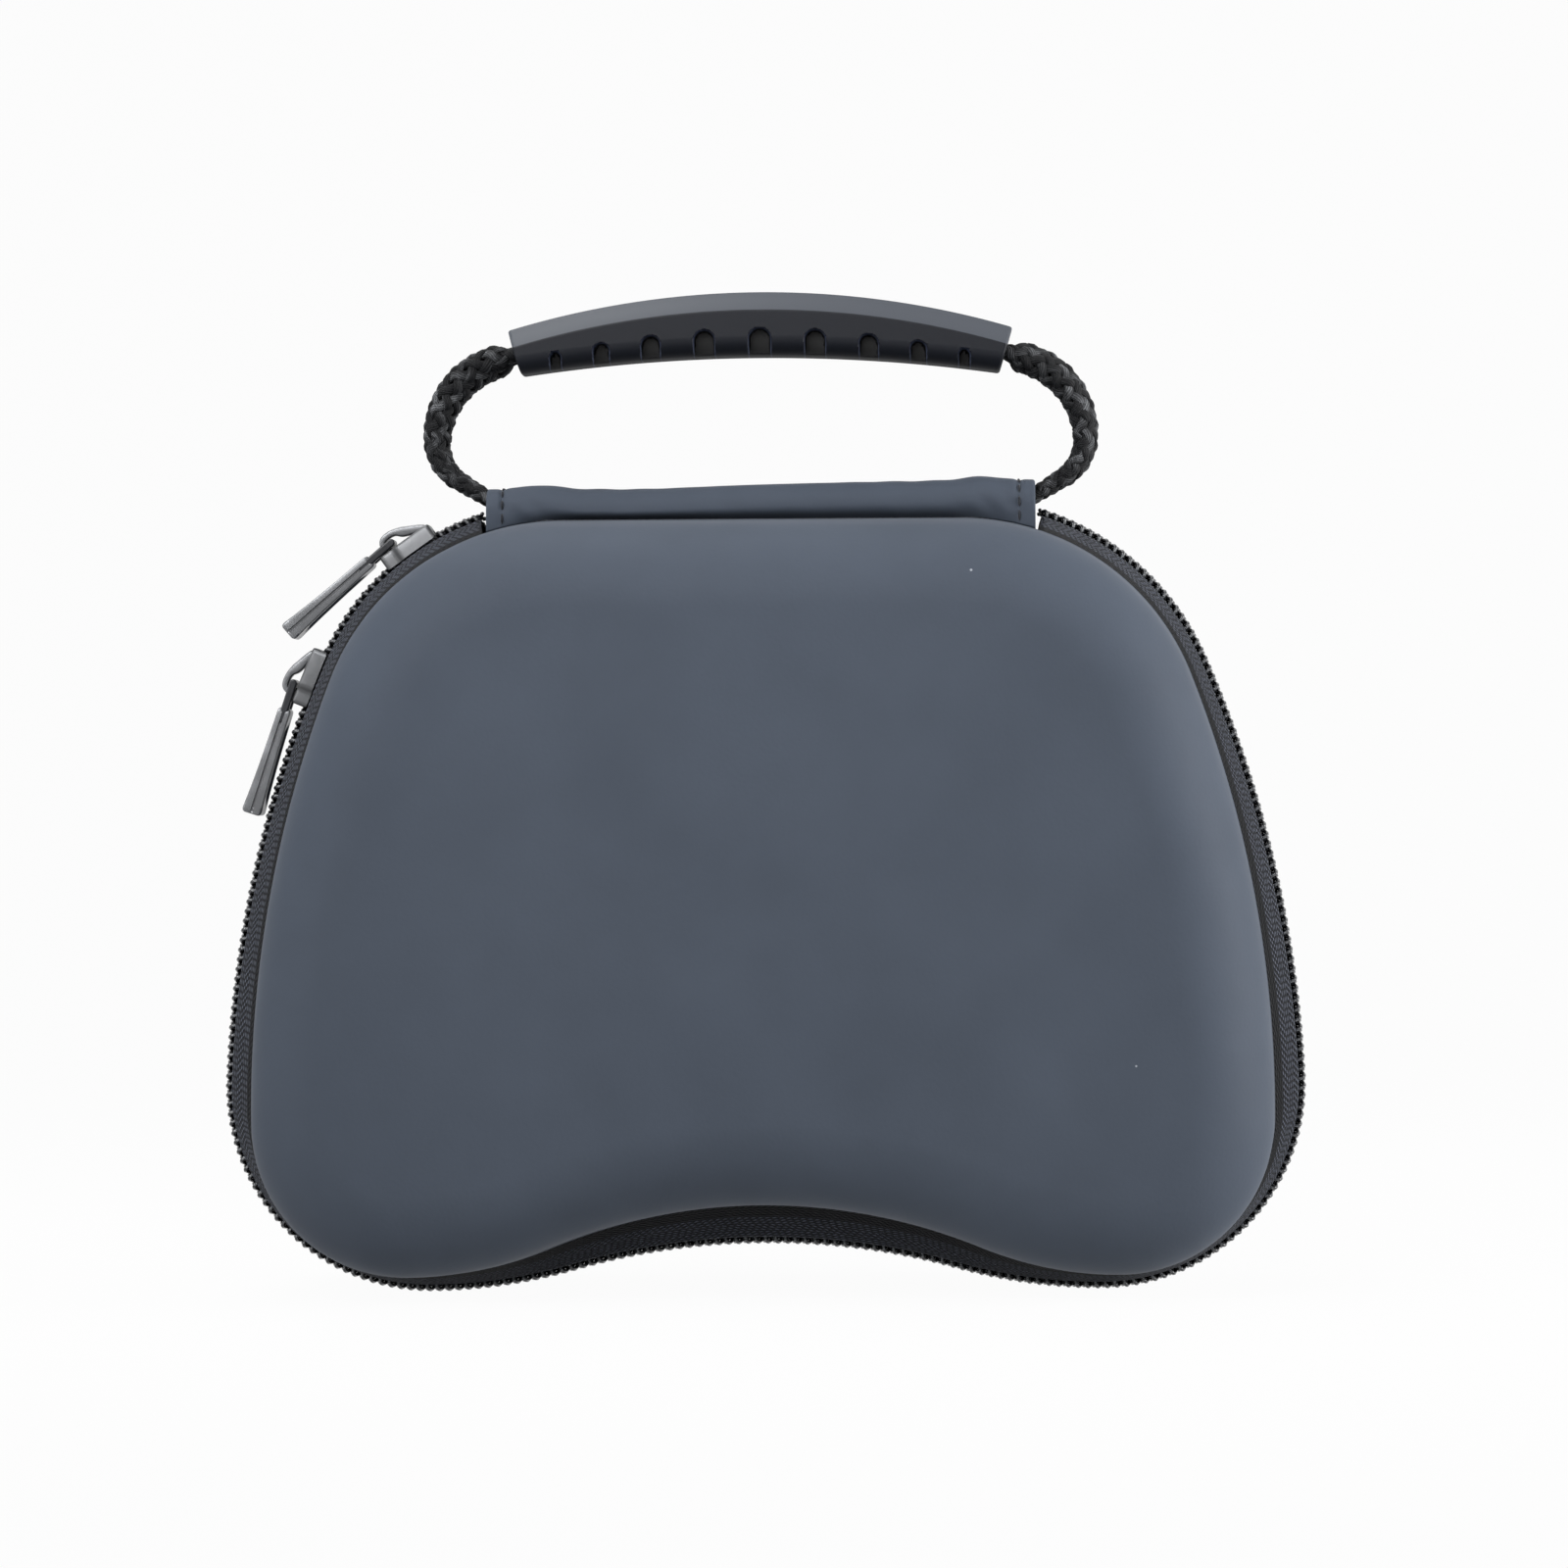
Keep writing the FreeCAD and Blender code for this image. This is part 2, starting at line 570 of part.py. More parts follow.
for slot_x, slot_w, slot_h in zip(SLOT_X, SLOT_WIDTH, SLOT_HEIGHT):
    for side_x in (-1.0, 1.0):
        if slot_x == 0.0 and side_x > 0:
            continue
        sx = side_x * slot_x
        tilt = math.degrees(math.asin(sx / GRIP_TOP_RADIUS))
        sz = bottom_gap + math.sqrt(GRIP_BOTTOM_RADIUS ** 2 - sx ** 2)
        half_w = slot_w / 2.0
        arch = slot_h - half_w
        p0 = xz(-half_w, -3.0)
        p1 = xz(-half_w, arch)
        pm = xz(0.0, slot_h)
        p2 = xz(half_w, arch)
        p3 = xz(half_w, -3.0)
        edges = [Part.makeLine(p0, p1), Part.Arc(p1, pm, p2).toShape()]
        edges += [Part.makeLine(p2, p3), Part.makeLine(p3, p0)]
        face = Part.Face(Part.Wire(edges))
        for side_y in (-1.0, 1.0):
            tool = face.extrude(V(0, SLOT_DEPTH + 1.0, 0))
            start = -GRIP_WIDTH / 2.0 - 1.0
            if side_y > 0:
                start = GRIP_WIDTH / 2.0 - SLOT_DEPTH
            tool.translate(V(0, start, 0))
            tool.rotate(V(0, 0, 0), V(0, 1, 0), tilt)
            tool.translate(V(sx, 0, sz))
            handle_grip = handle_grip.cut(tool)


channel_low = -TOOTH_DEPTH - TAPE_THICKNESS - 2.0 * SLIDER_TAPE_GAP
channel_high = SLIDER_TAPE_GAP


def slider_body(place):
    """Plate with lips down beside the coil, plate under the tape, and a post between them."""
    h = SLIDER_LENGTH / 2.0
    w = SLIDER_HALF_WIDTH
    top = channel_high + SLIDER_PLATE
    low = channel_low - SLIDER_PLATE
    upper = block(-h, h, -w, w, channel_high, top)
    lower = block(-h, h, -w, w, low, channel_low)
    body = upper.fuse(lower)
    for side_y in (-1.0, 1.0):
        y0 = min(side_y * w, side_y * (w - SLIDER_LIP))
        y1 = max(side_y * w, side_y * (w - SLIDER_LIP))
        body = body.fuse(block(-h, h, y0, y1, SLIDER_TAPE_GAP - TOOTH_DEPTH, channel_high))
    body = body.fuse(block(post_start, h, -SLIDER_POST_HALF_WIDTH, SLIDER_POST_HALF_WIDTH,
                           channel_low, channel_high))
    body = body.removeSplitter()
    corner_edges = []
    for edge in body.Edges:
        box = edge.BoundBox
        upright = box.ZMax - box.ZMin > SLIDER_PLATE * 0.9
        thin = box.XMax - box.XMin < 0.01 and box.YMax - box.YMin < 0.01
        at_corner = abs(abs(box.XMin) - h) < 0.01 and abs(abs(box.YMin) - w) < 0.01
        if upright and thin and at_corner:
            corner_edges.append(edge)
    body = body.makeFillet(1.0, corner_edges)
    body.Placement = place
    return body


def slider_bridge(place):
    """Loop on the outer plate that holds the pull."""
    h = BRIDGE_LENGTH / 2.0
    w = BRIDGE_WIDTH / 2.0
    base = channel_high + SLIDER_PLATE
    top = base + BRIDGE_HEIGHT
    r = BRIDGE_CORNER
    k = r * (1.0 - math.sqrt(0.5))
    edges = [Part.makeLine(xz(-h, base, -w), xz(-h, top - r, -w))]
    edges.append(Part.Arc(xz(-h, top - r, -w), xz(-h + k, top - k, -w), xz(-h + r, top, -w)).toShape())
    edges.append(Part.makeLine(xz(-h + r, top, -w), xz(h - r, top, -w)))
    edges.append(Part.Arc(xz(h - r, top, -w), xz(h - k, top - k, -w), xz(h, top - r, -w)).toShape())
    edges.append(Part.makeLine(xz(h, top - r, -w), xz(h, base, -w)))
    edges.append(Part.makeLine(xz(h, base, -w), xz(-h, base, -w)))
    arch = Part.Face(Part.Wire(edges)).extrude(V(0, 2.0 * w, 0))
    hole = block(-h + BRIDGE_BAR, h - BRIDGE_BAR, -w - 1, w + 1, base, top - BRIDGE_BAR)
    arch = arch.cut(hole)
    arch.Placement = place
    return arch


def pull_hinge(place, toward):
    """Middle of the link's cross bar inside the bridge, in the case's frame."""
    base = channel_high + SLIDER_PLATE
    local = V(toward * (BRIDGE_LENGTH / 2.0 - BRIDGE_BAR - LINK_BAR / 2.0 - LINK_CLEARANCE), 0,
              base + (BRIDGE_HEIGHT - BRIDGE_BAR) / 2.0)
    return place.multVec(local)


def pull_pieces(place, toward, angle):
    """Link and tab, built along +X from the hinge and then turned in the front view."""
    spot = pull_hinge(place, toward)
    turn = FreeCAD.Rotation(V(0, 1, 0), -angle)
    frame = FreeCAD.Placement(spot, turn)
    b = LINK_BAR / 2.0
    w = LINK_WIDTH / 2.0
    ring_out = block(-b, LINK_LENGTH, -w, w, -b, b)
    ring_in = block(b, LINK_LENGTH - LINK_BAR, -w + LINK_BAR, w - LINK_BAR, -b - 1, b + 1)
    link = ring_out.cut(ring_in)
    bar = Part.makeCylinder(b, LINK_WIDTH, V(0, -w, 0), V(0, 1, 0))
    cap = block(-b - 0.5, 0.0, -w - 1, w + 1, -b - 1, b + 1)
    link = link.cut(cap).fuse(bar).removeSplitter()
    gap = PULL_EYE_CLEARANCE
    root = LINK_LENGTH - 2.0 * LINK_BAR
    start = root + LINK_BAR - 2.0 * gap
    end = start + PULL_LENGTH
    neck = root + PULL_ROOT_LENGTH
    r = PULL_ROOT_THICKNESS / 2.0
    waist = PULL_WAIST_THICKNESS / 2.0
    t = PULL_TIP_THICKNESS / 2.0
    shoulder_x = end - PULL_TIP_LENGTH
    points = [xz(root, -r), xz(neck, -waist), xz(shoulder_x, -t), xz(end, -t * 0.8)]
    points += [xz(end, t * 0.8), xz(shoulder_x, t), xz(neck, waist), xz(root, r)]
    side = Part.Face(Part.makePolygon(points + [points[0]]))
    side.translate(V(0, -PULL_WIDTH / 2.0, 0))
    tab = side.extrude(V(0, PULL_WIDTH, 0))
    inner = w - LINK_BAR - gap
    tab = tab.cut(block(0.0, start + LINK_BAR / 2.0, -w - gap, -inner, -b - gap, b + gap))
    tab = tab.cut(block(0.0, start + LINK_BAR / 2.0, inner, w + gap, -b - gap, b + gap))
    tab = tab.cut(block(start, LINK_LENGTH + gap, -w - gap, w + gap, -b - gap, b + gap))
    link.Placement = frame
    tab.Placement = frame
    return link, tab


upper_slider_body = slider_body(upper_place)
upper_slider_bridge = slider_bridge(upper_place)
upper_pull_angle = upper_spot[3] + 90.0 + UPPER_PULL_TOE_IN
upper_pull_link, upper_pull_tab = pull_pieces(upper_place, -1.0, upper_pull_angle)
lower_slider_body = slider_body(lower_place)
lower_slider_bridge = slider_bridge(lower_place)
lower_pull_angle = lower_spot[3] + 90.0 + LOWER_PULL_TOE_IN
lower_pull_link, lower_pull_tab = pull_pieces(lower_place, -1.0, lower_pull_angle)


pocket_room = mirrored(domed(WALL, CROWN_Y - WALL, SHOULDER_RADIUS - WALL, RIM_Y - 1.0))
pocket_low = -POCKET_Y - NET_THICKNESS
net_slab = block(-CASE_WIDTH, CASE_WIDTH, pocket_low, -POCKET_Y, -CASE_HEIGHT, POCKET_TOP_Z)
net = net_slab.common(pocket_room)
holes = []
row = 0
z = POCKET_TOP_Z - NET_MARGIN - NET_HOLE / 2.0
while z > SHELL_FLOOR_INSET + WALL + NET_HOLE / 2.0:
    count = int(CASE_WIDTH / NET_PITCH) + 2
    for column in range(-count, count + 1):
        x = (column + 0.5 * (row % 2)) * NET_PITCH
        reach = NET_HOLE / 2.0 + NET_EDGE
        inside_net = True
        for dx, dz in ((reach, 0), (-reach, 0), (0, reach), (0, -reach)):
            probe = V(x + dx, -POCKET_Y - NET_THICKNESS / 2.0, z + dz)
            if not net.isInside(probe, 0.001, True):
                inside_net = False
        if inside_net:
            corners = [V(x, pocket_low - 1, z - NET_HOLE / 2.0), V(x + NET_HOLE / 2.0, pocket_low - 1, z)]
            corners += [V(x, pocket_low - 1, z + NET_HOLE / 2.0), V(x - NET_HOLE / 2.0, pocket_low - 1, z)]
            face = Part.Face(Part.makePolygon(corners + [corners[0]]))
            holes.append(face.extrude(V(0, NET_THICKNESS + 2, 0)))
    z -= NET_PITCH / 2.0
    row += 1
mesh_pocket = net.cut(Part.makeCompound(holes))
hem_y = POCKET_Y + NET_THICKNESS / 2.0
hem_slab = block(-CASE_WIDTH, CASE_WIDTH, -hem_y - HEM_THICKNESS / 2.0, -hem_y + HEM_THICKNESS / 2.0,
                 POCKET_TOP_Z, POCKET_TOP_Z + HEM_HEIGHT)
pocket_hem = hem_slab.common(pocket_room)

nodes = {
    "back_shell": back_shell,
    "inner_binding_back": inner_binding,
    "zipper_tape_back": zipper_tape_back,
    "zipper_teeth_back": zipper_teeth_back,
    "front_shell": mirrored(back_shell),
    "inner_binding_front": mirrored(inner_binding),
    "zipper_tape_front": mirrored(zipper_tape_back),
    "zipper_teeth_front": zipper_teeth_front,
    "mesh_pocket": mesh_pocket,
    "pocket_hem": pocket_hem,
    "hinge_sleeve": hinge_sleeve,
    "hinge_strip": hinge_strip,
    "sleeve_stitching": sleeve_stitching,
    "handle_cord": handle_cord,
    "handle_grip": handle_grip,
    "upper_slider_body": upper_slider_body,
    "upper_slider_bridge": upper_slider_bridge,
    "upper_pull_link": upper_pull_link,
    "upper_pull_tab": upper_pull_tab,
    "lower_slider_body": lower_slider_body,
    "lower_slider_bridge": lower_slider_bridge,
    "lower_pull_link": lower_pull_link,
    "lower_pull_tab": lower_pull_tab,
}

os.makedirs("parts", exist_ok=True)
for name, shape in nodes.items():
    shape.exportStep("parts/" + name + ".step")
    bounds = shape.BoundBox
    sizes = [round(v, 2) for v in (bounds.XMin, bounds.XMax, bounds.YMin, bounds.YMax, bounds.ZMin, bounds.ZMax)]
    print(name, shape.isValid(), len(shape.Solids), round(shape.Volume, 1), sizes)
print("upper centre", upper_spot, "hinge", pull_hinge(upper_place, -1.0))
print("lower centre", lower_spot, "hinge", pull_hinge(lower_place, -1.0))
print("handle axis", AXIS_Z, "rim top", RIM_TOP, "holes", len(holes), "teeth", len(tooth_line))
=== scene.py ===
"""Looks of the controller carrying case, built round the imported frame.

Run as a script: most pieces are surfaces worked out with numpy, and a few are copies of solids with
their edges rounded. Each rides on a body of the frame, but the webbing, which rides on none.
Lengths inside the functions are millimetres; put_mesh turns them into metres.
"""
import functools
import math

import bmesh
import bpy
import numpy as np
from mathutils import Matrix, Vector


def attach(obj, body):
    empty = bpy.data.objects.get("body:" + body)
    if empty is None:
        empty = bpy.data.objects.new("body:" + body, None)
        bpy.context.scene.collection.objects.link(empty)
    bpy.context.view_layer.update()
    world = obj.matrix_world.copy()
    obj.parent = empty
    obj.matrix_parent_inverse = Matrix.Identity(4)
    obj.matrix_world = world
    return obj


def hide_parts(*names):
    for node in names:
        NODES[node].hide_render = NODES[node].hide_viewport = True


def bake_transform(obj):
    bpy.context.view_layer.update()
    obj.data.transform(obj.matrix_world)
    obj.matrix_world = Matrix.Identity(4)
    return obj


bl_info = {
    "name": "Controller carrying case",
    "version": (1, 0, 0),
    "blender": (4, 5, 0),
    "location": "View3D > Sidebar > Case",
    "description": "Builds the leather, zip, handle and studio of a hard carrying case",
    "category": "Object",
}

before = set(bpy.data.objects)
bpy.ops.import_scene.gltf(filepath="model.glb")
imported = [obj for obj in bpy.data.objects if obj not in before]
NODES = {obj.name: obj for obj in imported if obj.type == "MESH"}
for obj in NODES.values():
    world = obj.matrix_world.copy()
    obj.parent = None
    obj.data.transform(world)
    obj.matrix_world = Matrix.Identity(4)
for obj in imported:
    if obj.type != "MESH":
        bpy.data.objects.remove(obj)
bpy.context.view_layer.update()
PI = math.pi


class CaseSizes(bpy.types.PropertyGroup):
    """Sizes of the soft surfaces, in millimetres."""
    dome: bpy.props.FloatProperty(name="Crown dome", description="Rise of the flat crown at its middle",
                                  default=1.1, min=0.0, max=2.0)
    twill: bpy.props.FloatProperty(name="Twill pitch", description="Length of one stitch of the zip tape",
                                   default=1.1, min=0.3, max=2.0)
    turn: bpy.props.FloatProperty(name="Coil wire", description="Radius of the coil's nylon wire",
                                  default=0.34, min=0.2, max=0.6)
    braid: bpy.props.FloatProperty(name="Braid pitch", description="Length of one lump of the webbing",
                                   default=3.15, min=1.0, max=8.0)
    net: bpy.props.FloatProperty(name="Net cell", description="Width of one cell of the pocket's net",
                                 default=3.4, min=2.0, max=8.0)


class CaseColours(bpy.types.PropertyGroup):
    """Base colours, linear."""
    leather: bpy.props.FloatVectorProperty(name="Leather", description="Shell and sleeve leather",
                                           subtype="COLOR", default=(0.058, 0.070, 0.092), size=3)
    cloth: bpy.props.FloatVectorProperty(name="Cloth", description="Zip tape, net and bindings",
                                         subtype="COLOR", default=(0.014, 0.0155, 0.020), size=3)
    rubber: bpy.props.FloatVectorProperty(name="Rubber", description="Handle grip",
                                          subtype="COLOR", default=(0.0045, 0.0055, 0.009), size=3)
    metal: bpy.props.FloatVectorProperty(name="Metal", description="Slider, bridge and pull",
                                         subtype="COLOR", default=(0.20, 0.205, 0.215), size=3)
    lining: bpy.props.FloatVectorProperty(name="Lining", description="Knitted inside face of the shells",
                                          subtype="COLOR", default=(0.020, 0.021, 0.024), size=3)


def sizes():
    return bpy.context.scene.case_sizes


def colours():
    return bpy.context.scene.case_colours


# ---- outline of the case

class TangentLine:
    """Closed line of tangent arcs seen from the front, symmetric about x = 0."""

    # Points on each arc, and on half of the top.
    COUNTS = (64, 26, 56, 40, 44)
    TOP_COUNT = 48

    def __init__(self, half_width, floor, top, lobe, floor_radius, notch, corner, corner_x, side):
        """Each arc's centre lies on the line from its neighbour's centre to the point where both touch.

        The side's centre is where two circles round the lobe's and the corner's centres cross.
        """
        lobe_x = half_width - lobe
        floor_z = floor + floor_radius
        notch_r = (lobe_x ** 2 + notch ** 2) / (2 * notch) - floor_radius
        notch_z = floor + notch - notch_r
        lobe_z = floor + lobe
        corner_z = top - corner
        dx, dz = corner_x - lobe_x, corner_z - lobe_z
        gap = math.hypot(dx, dz)
        a, b = side - lobe, side - corner
        along = (a * a - b * b + gap * gap) / (2 * gap)
        across = math.sqrt(a * a - along * along)
        ux, uz = dx / gap, dz / gap
        side_x, side_z = lobe_x + ux * along - uz * across, lobe_z + uz * along + ux * across
        low = math.atan2(lobe_z - side_z, lobe_x - side_x)
        high = math.atan2(corner_z - side_z, corner_x - side_x)
        down = math.atan2(notch_z - floor_z, -lobe_x)
        rise = math.atan2(floor_z - notch_z, lobe_x)
        self.top, self.corner_x = top, corner_x
        self.top_index = sum(self.COUNTS) + self.TOP_COUNT
        self.arcs = [(0.0, notch_z, notch_r, PI / 2, rise, -1.0), (lobe_x, floor_z, floor_radius, down, -PI / 2, 1.0),
                     (lobe_x, lobe_z, lobe, -PI / 2, low, 1.0), (side_x, side_z, side, low, high, 1.0),
                     (corner_x, corner_z, corner, high, PI / 2, 1.0)]

    def ring(self, inset):
        """Points and outward normals all round: centre plus (radius - inset) along each arc's angle."""
        right = []
        for (cx, cz, r, a0, a1, sign), count in zip(self.arcs, self.COUNTS):
            a = np.linspace(a0, a1, count, endpoint=False)
            reach = r - inset * sign
            right.append([cx + reach * np.cos(a), cz + reach * np.sin(a), sign * np.cos(a), sign * np.sin(a)])
        top = np.linspace(self.corner_x, 0.0, self.TOP_COUNT + 1)
        right.append([top, np.full_like(top, self.top - inset), np.zeros_like(top), np.ones_like(top)])
        right = np.concatenate(right, axis=1)
        left = right[:, -2:0:-1] * [[-1], [1], [-1], [1]]
        return np.concatenate([right, left], axis=1)

    def even(self, inset, pitch):
        """Points every pitch millimetres from the middle of the top, with normals and travelled length."""
        loop = np.roll(self.ring(inset), -self.top_index, axis=1)
        loop = np.append(loop, loop[:, :1], axis=1)
        run = travelled(loop[:2].T)
        spots = np.arange(pitch / 2, run[-1], pitch)
        return np.array([np.interp(spots, run, c) for c in loop] + [spots])


ZIP_TOP, RIM_TOP = 133.5, 129.5
CORNER_X, RIM_CORNER = 33.5, 41.0
# Arguments: half width, floor, top, lobe, floor radius, notch, corner, corner's place, side.
ZIP_LINE = TangentLine(91.0, 0.0, ZIP_TOP, 34.5, 90.0, 7.8, 45.0, CORNER_X, 200.0)
RIM_LINE = TangentLine(85.3, 3.1, RIM_TOP, 26.5, 60.0, 11.7, RIM_CORNER, CORNER_X, 200.0)
# The shells: depth of the rim and of the crown from the middle, wall, lean of the wall.
RIM_Y, CROWN_Y, WALL, SLOPE = 8.0, 37.0, 3.0, 2.0 / 29.0
# Height of the middle of both crowns.
CROWN_Z = 64.0
# Half lengths of the sleeve, to its end and to its stitching.
SLEEVE_END, SLEEVE_SEAM = 46.0, 43.3
# How far the tape lies under the zip line; the length of one turn of the coil.
COIL_DEEP, TURN_PITCH = 1.5, 1.65
# Length of webbing tucked into each end of the sleeve; the way round one of its strands.
WEBBING_TUCK, STRAND_GIRTH = 9.0, 4.6


# ---- meshes

def put_mesh(name, points, faces, uv=None, smooth=True, kinds=None):
    """Mesh object from millimetre points and blocks of faces; uv is a pair a point, kinds a material a face."""
    mesh = bpy.data.meshes.new(name)
    points = np.asarray(points, dtype=np.float64).reshape(-1, 3) * 0.001
    counts = [len(block[0]) for block in faces for _ in block]
    loops = np.concatenate([np.asarray(block, dtype=np.int32).ravel() for block in faces])
    mesh.vertices.add(len(points))
    mesh.vertices.foreach_set("co", points.ravel())
    mesh.loops.add(len(loops))
    mesh.loops.foreach_set("vertex_index", loops)
    mesh.polygons.add(len(counts))
    starts = np.concatenate([[0], np.cumsum(counts)[:-1]]).astype(np.int32)
    mesh.polygons.foreach_set("loop_start", starts)
    if kinds is not None:
        mesh.polygons.foreach_set("material_index", np.asarray(kinds, dtype=np.int32))
    if uv is not None:
        layer = mesh.uv_layers.new(name="UVMap")
        layer.data.foreach_set("uv", np.asarray(uv, dtype=np.float64)[loops].ravel())
    mesh.update(calc_edges=True)
    mesh.validate()
    mesh.polygons.foreach_set("use_smooth", np.full(len(mesh.polygons), smooth))
    return put_object(name, mesh)


def put_object(name, data):
    """Object of a mesh, lamp or camera, in the scene."""
    thing = bpy.data.objects.new(name, data)
    bpy.context.scene.collection.objects.link(thing)
    return thing


def grid_faces(rows, columns, wrap_rows=False, wrap_columns=False):
    """Quads of a grid of rows by columns points, closed round either way."""
    r = np.arange(rows if wrap_rows else rows - 1)
    c = np.arange(columns if wrap_columns else columns - 1)
    i, j = np.meshgrid(r, c, indexing="ij")
    k, m = (i + 1) % rows, (j + 1) % columns
    return np.stack([i * columns + j, k * columns + j, k * columns + m, i * columns + m], -1).reshape(-1, 4)


def mirrored(half, sign=-1):
    """Columns followed by their reflection, whose sign may turn; the middle column isn't repeated."""
    return np.concatenate([half, sign * half[:, -2::-1]], 1)


def stations(x, y, z):
    """Points of a section carried along x: x is one number a row, y and z one a point."""
    return np.stack([np.broadcast_to(x[:, None], y.shape), y, z], -1)


def at_depth(line, depth):
    """Points of a line in the front view, all at one depth."""
    return np.stack([line[0], np.full_like(line[0], depth), line[1]], -1)


def grid_map(along, across):
    """The map of a grid: along by rows, across by columns."""
    return np.stack(np.meshgrid(along, across, indexing="ij"), -1).reshape(-1, 2)


def travelled(points):
    """Length from the first of a line of points to each."""
    return np.concatenate([[0], np.cumsum(np.linalg.norm(np.diff(points, axis=0), axis=1))])


def relaxed(line, times):
    """A line whose inner points draw to their neighbours, a quarter each way, a number of times."""
    for _ in range(times):
        line[1:-1] = (line[:-2] + 2 * line[1:-1] + line[2:]) / 4
    return line


def quarter(t):
    """How far a rounded end has drawn in: one less the root of one less the square."""
    return 1 - np.sqrt(np.clip(1 - np.clip(t, 0, 1) ** 2, 0, 1))


def outward(thing, change=None):
    """Faces of a closed piece point outwards, once the change, if there is one, is made to its mesh."""
    shape = bmesh.new()
    shape.from_mesh(thing.data)
    if change:
        change(shape)
    bmesh.ops.recalc_face_normals(shape, faces=shape.faces)
    shape.to_mesh(thing.data)
    shape.free()
    return thing


def finish(thing, body, slot_name, *nodes, inner=None):
    """The piece gets its materials, rides on its body and stands for its solids.

    One given no body rides on none.
    """
    for name in (slot_name, inner):
        if name:
            thing.data.materials.append(material(name))
    if body:
        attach(thing, body)
    if nodes:
        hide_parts(*nodes)
    return thing


def soften(thing, width, segments, angle):
    """Rounds the edges that are sharper than an angle."""
    soft = thing.modifiers.new("soft_edges", "BEVEL")
    soft.width = width * 0.001
    soft.segments = segments
    soft.limit_method = "ANGLE"
    soft.angle_limit = math.radians(angle)
    soft.harden_normals = True


def refined(node, name, bevel, segments=2, angle=35.0):
    """Copy of a solid with its doubles merged and its edges rounded."""
    def merge(shape):
        bmesh.ops.remove_doubles(shape, verts=shape.verts, dist=1e-6)
        bmesh.ops.dissolve_limit(shape, angle_limit=math.radians(0.6), verts=shape.verts, edges=shape.edges)

    thing = put_object(name, NODES[node].data.copy())
    thing.data.materials.clear()
    outward(thing, merge)
    soften(thing, bevel, segments, angle)
    thing.data.polygons.foreach_set("use_smooth", np.full(len(thing.data.polygons), True))
    thing.data.set_sharp_from_angle(angle=math.radians(angle))
    return thing


# ---- shader maths

class Value:
    """A number socket on which + - * and comparisons add Math nodes."""

    def __init__(self, tree, socket):
        self.tree, self.socket = tree, socket

    def math(self, operation, other=None, swap=False):
        node = self.tree.nodes.new("ShaderNodeMath")
        node.operation = operation
        pair = [self, other] if not swap else [other, self]
        for slot, item in zip(node.inputs, pair):
            if isinstance(item, Value):
                self.tree.links.new(item.socket, slot)
            elif item is not None:
                slot.default_value = item
        return Value(self.tree, node.outputs[0])

    def __add__(self, other):
        return self.math("ADD", other)

    __radd__ = __add__

    def __mul__(self, other):
        return self.math("MULTIPLY", other)

    __rmul__ = __mul__

    def __sub__(self, other):
        return self.math("SUBTRACT", other)

    def __rsub__(self, other):
        return self.math("SUBTRACT", other, swap=True)

    def __gt__(self, other):
        return self.math("GREATER_THAN", other)

    def __lt__(self, other):
        return self.math("LESS_THAN", other)

    def sin(self):
        return self.math("SINE")

    def high(self, other):
        return self.math("MAXIMUM", other)

    def wrap(self, other):
        return self.math("PINGPONG", other)


class Nodes:
    """A node tree, and the one method that adds nodes to it."""

    def __init__(self, owner):
        owner.use_nodes = True
        self.tree = owner.node_tree

    def node(self, kind, settings=None, **sockets):
        """Adds one node: its settings first, then the values or links of its sockets."""
        made = self.tree.nodes.new(kind)
        for key, amount in (settings or {}).items():
            setattr(made, key, amount)
        for key, amount in sockets.items():
            slot = made.inputs[key.replace("_", " ")]
            if isinstance(amount, Value):
                self.tree.links.new(amount.socket, slot)
            elif isinstance(amount, bpy.types.NodeSocket):
                self.tree.links.new(amount, slot)
            else:
                slot.default_value = amount
        return made

    def seen(self):
        """1 for the rays that show the background: from the camera, off gloss and through glass."""
        path = self.node("ShaderNodeLightPath").outputs
        camera, gloss, glass = [Value(self.tree, path[kind])
                                for kind in ("Is Camera Ray", "Is Glossy Ray", "Is Transmission Ray")]
        return camera.high(gloss).high(glass)

    def surface(self, output, factor, plain, other):
        """Lays a mix of two shaders on the surface: the factor is the other's share."""
        mix = self.node("ShaderNodeMixShader", Fac=factor)
        self.tree.links.new(plain.outputs[0], mix.inputs[1])
        self.tree.links.new(other.outputs[0], mix.inputs[2])
        self.tree.links.new(mix.outputs[0], self.tree.nodes[output].inputs["Surface"])


